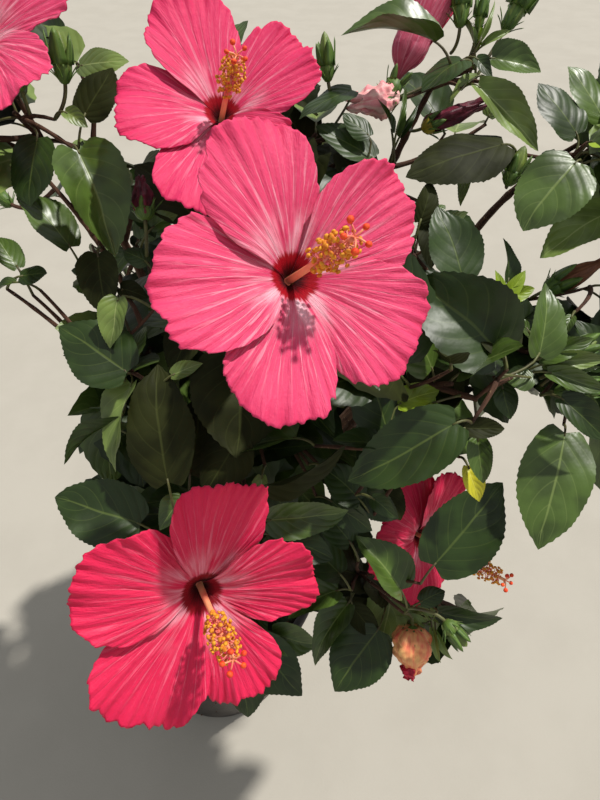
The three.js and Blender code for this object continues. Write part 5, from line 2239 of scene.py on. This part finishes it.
@dataclass
class Buds:
    """Green buds, furled blooms and spent ones, with their cups and bracts."""

    crown: Crown
    setter: MarkedSetter
    bracts: int = 8
    lobes: int = 5
    stalk_radius: float = 1.4
    cup_rings: tuple[Triple, ...] = (
        (0.45, 0, -1), (0.86, 0.2, 0), (1, 0.6, 0), (1.04, 1, 0), (0.9, 1, 0), (0.8, 0.4, 0))
    _soups: dict[str, tuple[MottledFinish, Soup]] = field(default_factory=dict)

    def _soup(self, finish: MottledFinish) -> Soup:
        """The mesh that gathers what has this finish."""
        return self._soups.setdefault(finish.name, (finish, Soup()))[1]

    def _furl(self, furl: Furl, foot: Array, heading: Array, spin: float) -> None:
        """Adds one spindle of furled petals, pleated, twisted and crumpled.

        Args:
            furl: the furl.
            foot: where its foot is.
            heading: where it points.
            spin: its turn round that.
        """
        rows, sides = (30, 36) if furl.crumple else (16, 20)
        points = []
        for i in range(rows):
            share = i / (rows - 1)
            if furl.flare:
                profile = 0.62 + 0.5 * math.sin(math.pi * min(1, share * 1.15)) - 0.22 * share
                profile += furl.flare * max(0, share - 0.8) * 2
            else:
                profile = math.sin(math.pi * (0.06 + 0.92 * share) ** 0.8) ** 0.7
            if i in (0, rows - 1):
                profile *= 0.5 if furl.flare and i else 0.12
            ragged = furl.crumple * 0.3 * share ** 3
            for j in range(sides):
                angle = FULL_TURN * j / sides
                pleat = 1 + 0.13 * math.cos(5 * angle + 2.4 * share) + 0.05 * math.sin(9 * angle - 5 * share)
                spot = Vector((math.cos(angle) * 1.6, math.sin(angle) * 1.6, share * 3.2 + spin))
                crease = noise.noise(spot) + 0.8 * noise.noise(spot * 2.6)
                radius = furl.radius * profile * (pleat + furl.crumple * crease)
                height = furl.length * share * (1 + ragged * math.sin(5 * angle + spin))
                points.append((radius * math.cos(angle), radius * math.sin(angle), height))
        points += [(0, 0, -0.5), (0, 0, furl.length * (0.9 if furl.flare > 0.3 else 1.01))]
        points = placed(np.array(points), upright(heading, foot, spin))
        self._soup(furl.finish).add(points, tube_faces(rows, sides), tube_uv(sides, np.arange(rows) / rows))

    def _cup(self, foot: Array, heading: Array, length: float, radius: float, finish: MottledFinish) -> None:
        """Adds a calyx cup, closed, its rim thin."""
        rings = [(radius * wide, length * high + low) for wide, high, low in self.cup_rings]
        self._soup(finish).lathe([(0, -2), *rings, (0, length * 0.3)], 15, upright(heading, foot))

    def _whorl(self, marks: list[Mark], foot: Array, heading: Array, radius: float, length: float,
               count: int, splay: float, seed: int) -> None:
        """Adds marks for a ring of narrow blades.

        Args:
            marks: the list that they join.
            foot: the ring's middle.
            heading: its axis.
            radius: its radius.
            length: the blades' length.
            count: how many there are.
            splay: how far they lean outward.
            seed: what makes it unlike other rings.
        """
        random = Seeded(seed + 900)
        for k in range(count):
            outward = sideways(heading, FULL_TURN * (k + random.between(-0.12, 0.12)) / count)
            along = unit(heading + outward * splay * random.between(0.7, 1.3))
            marks.append(Mark(foot + outward * radius, along, outward, length * random.between(0.85, 1.1)))

    def build(self) -> list[Thing]:
        """Makes all buds, furls, cups, lobes and bracts.

        Returns:
            The pieces.
        """
        lobes: list[Mark] = []
        bracts: list[Mark] = []
        starts = np.concatenate([twig.shoot.after_start(8) for twig in self.crown.twigs])
        stems = Soup()
        for number, furl in enumerate((*FURLS, *PIXEL_FURLS)):
            foot, heading = furl.foot_place(), unit(vec(*furl.heading))
            self._furl(furl, foot, heading, number * 1.3)
            if not furl.calyx:
                continue
            snug, sheath = furl.radius * furl.cup, furl.length * furl.calyx
            self._cup(foot, heading, sheath * 0.5, snug, YELLOWED if furl.yellow_calyx else CALYX)
            rim = foot + heading * sheath * 0.42
            self._whorl(lobes, rim, heading, snug, sheath * 0.8, self.lobes, 0.18, number)
            blade = min(15, furl.radius * 2.2)
            self._whorl(bracts, foot, heading, furl.radius * 0.5, blade, self.bracts, 0.6, number)
            start = starts[int(np.argmin(np.linalg.norm(starts - (foot - heading * 12), axis=1)))]
            line = Shoot(start, foot - heading * 14, foot + heading)
            stems.tube(line.points(np.linspace(0, 1, 9)), np.full(9, self.stalk_radius), 7)
        for number, bloom in enumerate(BLOOMS):
            ahead = bloom.axes[2]
            foot = bloom.middle - ahead * (CALYX_DEPTH + 1)
            self._cup(foot, ahead, 15, 7.2, CALYX)
            self._whorl(lobes, foot + ahead * 14, ahead, 7.0, 13, self.lobes, 0.5, number + 40)
            self._whorl(bracts, foot, ahead, 3.4, 15, self.bracts, 0.9, number + 40)
        pieces = [stems.piece("bud_stalks", PETIOLE.material())]
        for finish, soup in self._soups.values():
            pieces.append(soup.piece(f"{finish.name}_pieces", finish.material()))
        green = CALYX.material()
        for name, marks, shape, blade in (("calyx_lobes", lobes, "lobe", lobe(0.34, 0.05)),
                                          ("bracts", bracts, "bract", lobe(0.075, -0.2))):
            pieces.append(self.setter.build(name, marks, shape_collection(shape, blade), green))
        return pieces


# Pot and compost


@dataclass
class Pot:
    """The plain round pot, with its rolled rim and its flat underside."""

    top_radius: float = 165.0
    base_radius: float = 122.0
    height: float = 300.0
    wall: float = 5.0
    floor: float = 8.0
    rim_height: float = 26.0
    rim_out: float = 8.0
    sides: int = 112

    def _wall_at(self, height: float) -> float:
        """The wall's outer radius at a height."""
        return self.base_radius + (self.top_radius - self.base_radius) * height / self.height

    def build(self) -> Thing:
        """Makes the pot.

        Returns:
            The piece.
        """
        wall, top, floor, foot = self._wall_at, self.height, self.floor, self.height - self.rim_height
        under, outer = wall(foot), self.top_radius + self.rim_out
        inner, within = self.top_radius - self.wall, wall(floor) - self.wall
        profile = [(0.0, 0.0), (wall(0) - 3, 0.0), (wall(0) - 0.8, 0.8), (wall(3), 3.0)]
        profile += [(wall(z), z) for z in (30, 90, 150, 210, foot - 2)]
        swell = under + self.rim_out
        profile += [(under + 1.5, foot), (swell - 1, foot + 2), (swell, foot + 4.5)]
        profile += [(outer, top - 4.5), (outer - 0.8, top - 1.6), (outer - 3, top), (inner + 2, top)]
        profile += [(inner, top - 2), (within, floor + 2), (within - 3, floor), (0.0, floor)]
        piece = Soup().lathe(profile, self.sides).piece("plain_pot", POT_SKIN.material())
        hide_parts("pot")
        return piece


@dataclass
class Compost:
    """The compost with bark chips and perlite strewn on it."""

    top: float = 268.0
    foot: float = 12.0
    radius: float = 154.0
    foot_radius: float = 118.0
    rings: int = 26
    sides: int = 96
    roughness: float = 2.2
    steepest: float = 0.4

    def _height(self, x: float, y: float) -> float:
        """The bumpy surface's height at a place."""
        bumps = [noise.noise(Vector((x * fine, y * fine, far))) for fine, far in ((0.045, 0.0), (0.14, 4.0))]
        return self.top - 1.5 + self.roughness * (bumps[0] + 0.5 * bumps[1])

    def build(self) -> Thing:
        """Makes the bed of compost, closed below.

        Returns:
            The piece.
        """
        points = []
        for ring in range(self.rings + 1, 0, -1):
            below = ring > self.rings
            reach = self.foot_radius if below else self.radius * ring / self.rings
            for j in range(self.sides):
                angle = FULL_TURN * j / self.sides
                x, y = reach * math.cos(angle), reach * math.sin(angle)
                points.append((x, y, self.foot if below else self._height(x, y)))
        points += [(0.0, 0.0, self.foot), (0.0, 0.0, self._height(0, 0))]
        soup = Soup().add(np.array(points), tube_faces(self.rings + 1, self.sides))
        piece = soup.piece("compost_bed", COMPOST.material())
        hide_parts("soil")
        return piece

    def _strewing_tree(self) -> Tree:
        """Builds the tree that strews a shape over the bed's upper face.

        Returns:
            The tree.
        """
        graph = Graph("strew_on_bed")
        shapes, density, smallest, largest, seed, material = graph.take(
            Shapes="Collection", Density="Float", Smallest="Float", Largest="Float", Seed="Int",
            Material="Material")
        facing = graph.node("GeometryNodeInputNormal", {}).outputs[0]
        rise = graph.node("ShaderNodeSeparateXYZ", {0: facing}).outputs["Z"]
        upward = graph.node("FunctionNodeCompare", {0: rise, 1: self.steepest}, data_type="FLOAT",
                            operation="GREATER_THAN")
        strewn = graph.node("GeometryNodeDistributePointsOnFaces", {
            "Mesh": graph.source.outputs["Geometry"], "Selection": upward.outputs[0], "Density": density,
            "Seed": seed})
        turn = graph.node("FunctionNodeRandomValue", {0: (-0.5, -0.5, 0), 1: (0.5, 0.5, 6.283)},
                          data_type="FLOAT_VECTOR")
        spread = {2: smallest, 3: largest, "Seed": seed}
        size = graph.node("FunctionNodeRandomValue", spread, data_type="FLOAT")
        graph.finish(graph.instanced(strewn.outputs["Points"], shapes, Rotation=turn.outputs[0],
                                     Scale=size.outputs[1]), material)
        return graph.tree

    def strewn(self, bed: Thing) -> list[Thing]:
        """Strews bark chips and perlite over the bed.

        Args:
            bed: the compost.

        Returns:
            The two pieces.
        """
        tree = self._strewing_tree()
        chip = Soup().lathe([(0, -250), (600, -220), (900, 0), (550, 240), (0, 260)], 6, wobble=0.35)
        pieces = []
        for name, soup, finish, density, low, high, seed in (
                ("bark_chips", chip, BARK_CHIP, 11000.0, 0.0035, 0.008, 4),
                ("perlite_grains", ball(2, 6, 0.8), PERLITE, 2600.0, 0.0011, 0.0024, 9)):
            holder = shown(name, bed.data.copy())
            values = {"Shapes": shape_collection(f"{name}_shape", soup), "Density": density, "Smallest": low,
                      "Largest": high, "Seed": seed, "Material": finish.material()}
            pieces.append(plain_mesh(holder, tree, values))
        return pieces


def keep(pieces: list[Thing]) -> None:
    """Makes pieces ride on the plant's one body and reports each one's triangles.

    Args:
        pieces: the pieces.
    """
    for piece in pieces:
        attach(piece, "root")
        triangles = sum(len(polygon.vertices) - 2 for polygon in piece.data.polygons)
        LOG.info("%s: %d triangles", piece.name, triangles)


def main() -> None:
    """Builds the view, then the pot, the wood, the leaves and the blooms, and reports each piece."""
    logging.basicConfig(level=logging.INFO, format="%(name)s %(message)s")
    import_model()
    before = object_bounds()
    VIEW.build()
    Studio().build()

    keep([Pot().build()])
    compost = Compost()
    bed = compost.build()
    keep([bed, *compost.strewn(bed)])

    low, high = (np.array(corner) / MM for corner in before)
    crown = Crown(low, high)
    crown.grow()
    LOG.info("%d twigs, %d leaves", len(crown.twigs), len(crown.leaves))
    setter = MarkedSetter()
    keep(Foliage(crown, setter).build())
    keep(Buds(crown, setter).build())
    wood = WoodyFrame(crown)
    keep([wood.build(), wood.twigs(), wood.petioles()])

    finishes = {tint: finish.material() for tint, finish in PETAL_FINISHES.items()}
    keep([Corolla(bloom).build(finishes[bloom.tint]) for bloom in BLOOMS])
    brush = Brush(BLOOMS)
    keep([brush.columns()])
    filaments, anthers = brush.stamens()
    for name, marks, shape, soup, finish in (
            ("filaments", filaments, "thread", thread(), FILAMENT),
            ("anthers", anthers, "anther", ball(3, 6, 0.62), ANTHER),
            ("stigmas", brush.stigmas(), "stigma", ball(4, 8, 0.85), STIGMA)):
        keep([setter.build(name, marks, shape_collection(shape, soup), finish.material())])


if __name__ == "__main__":
    main()
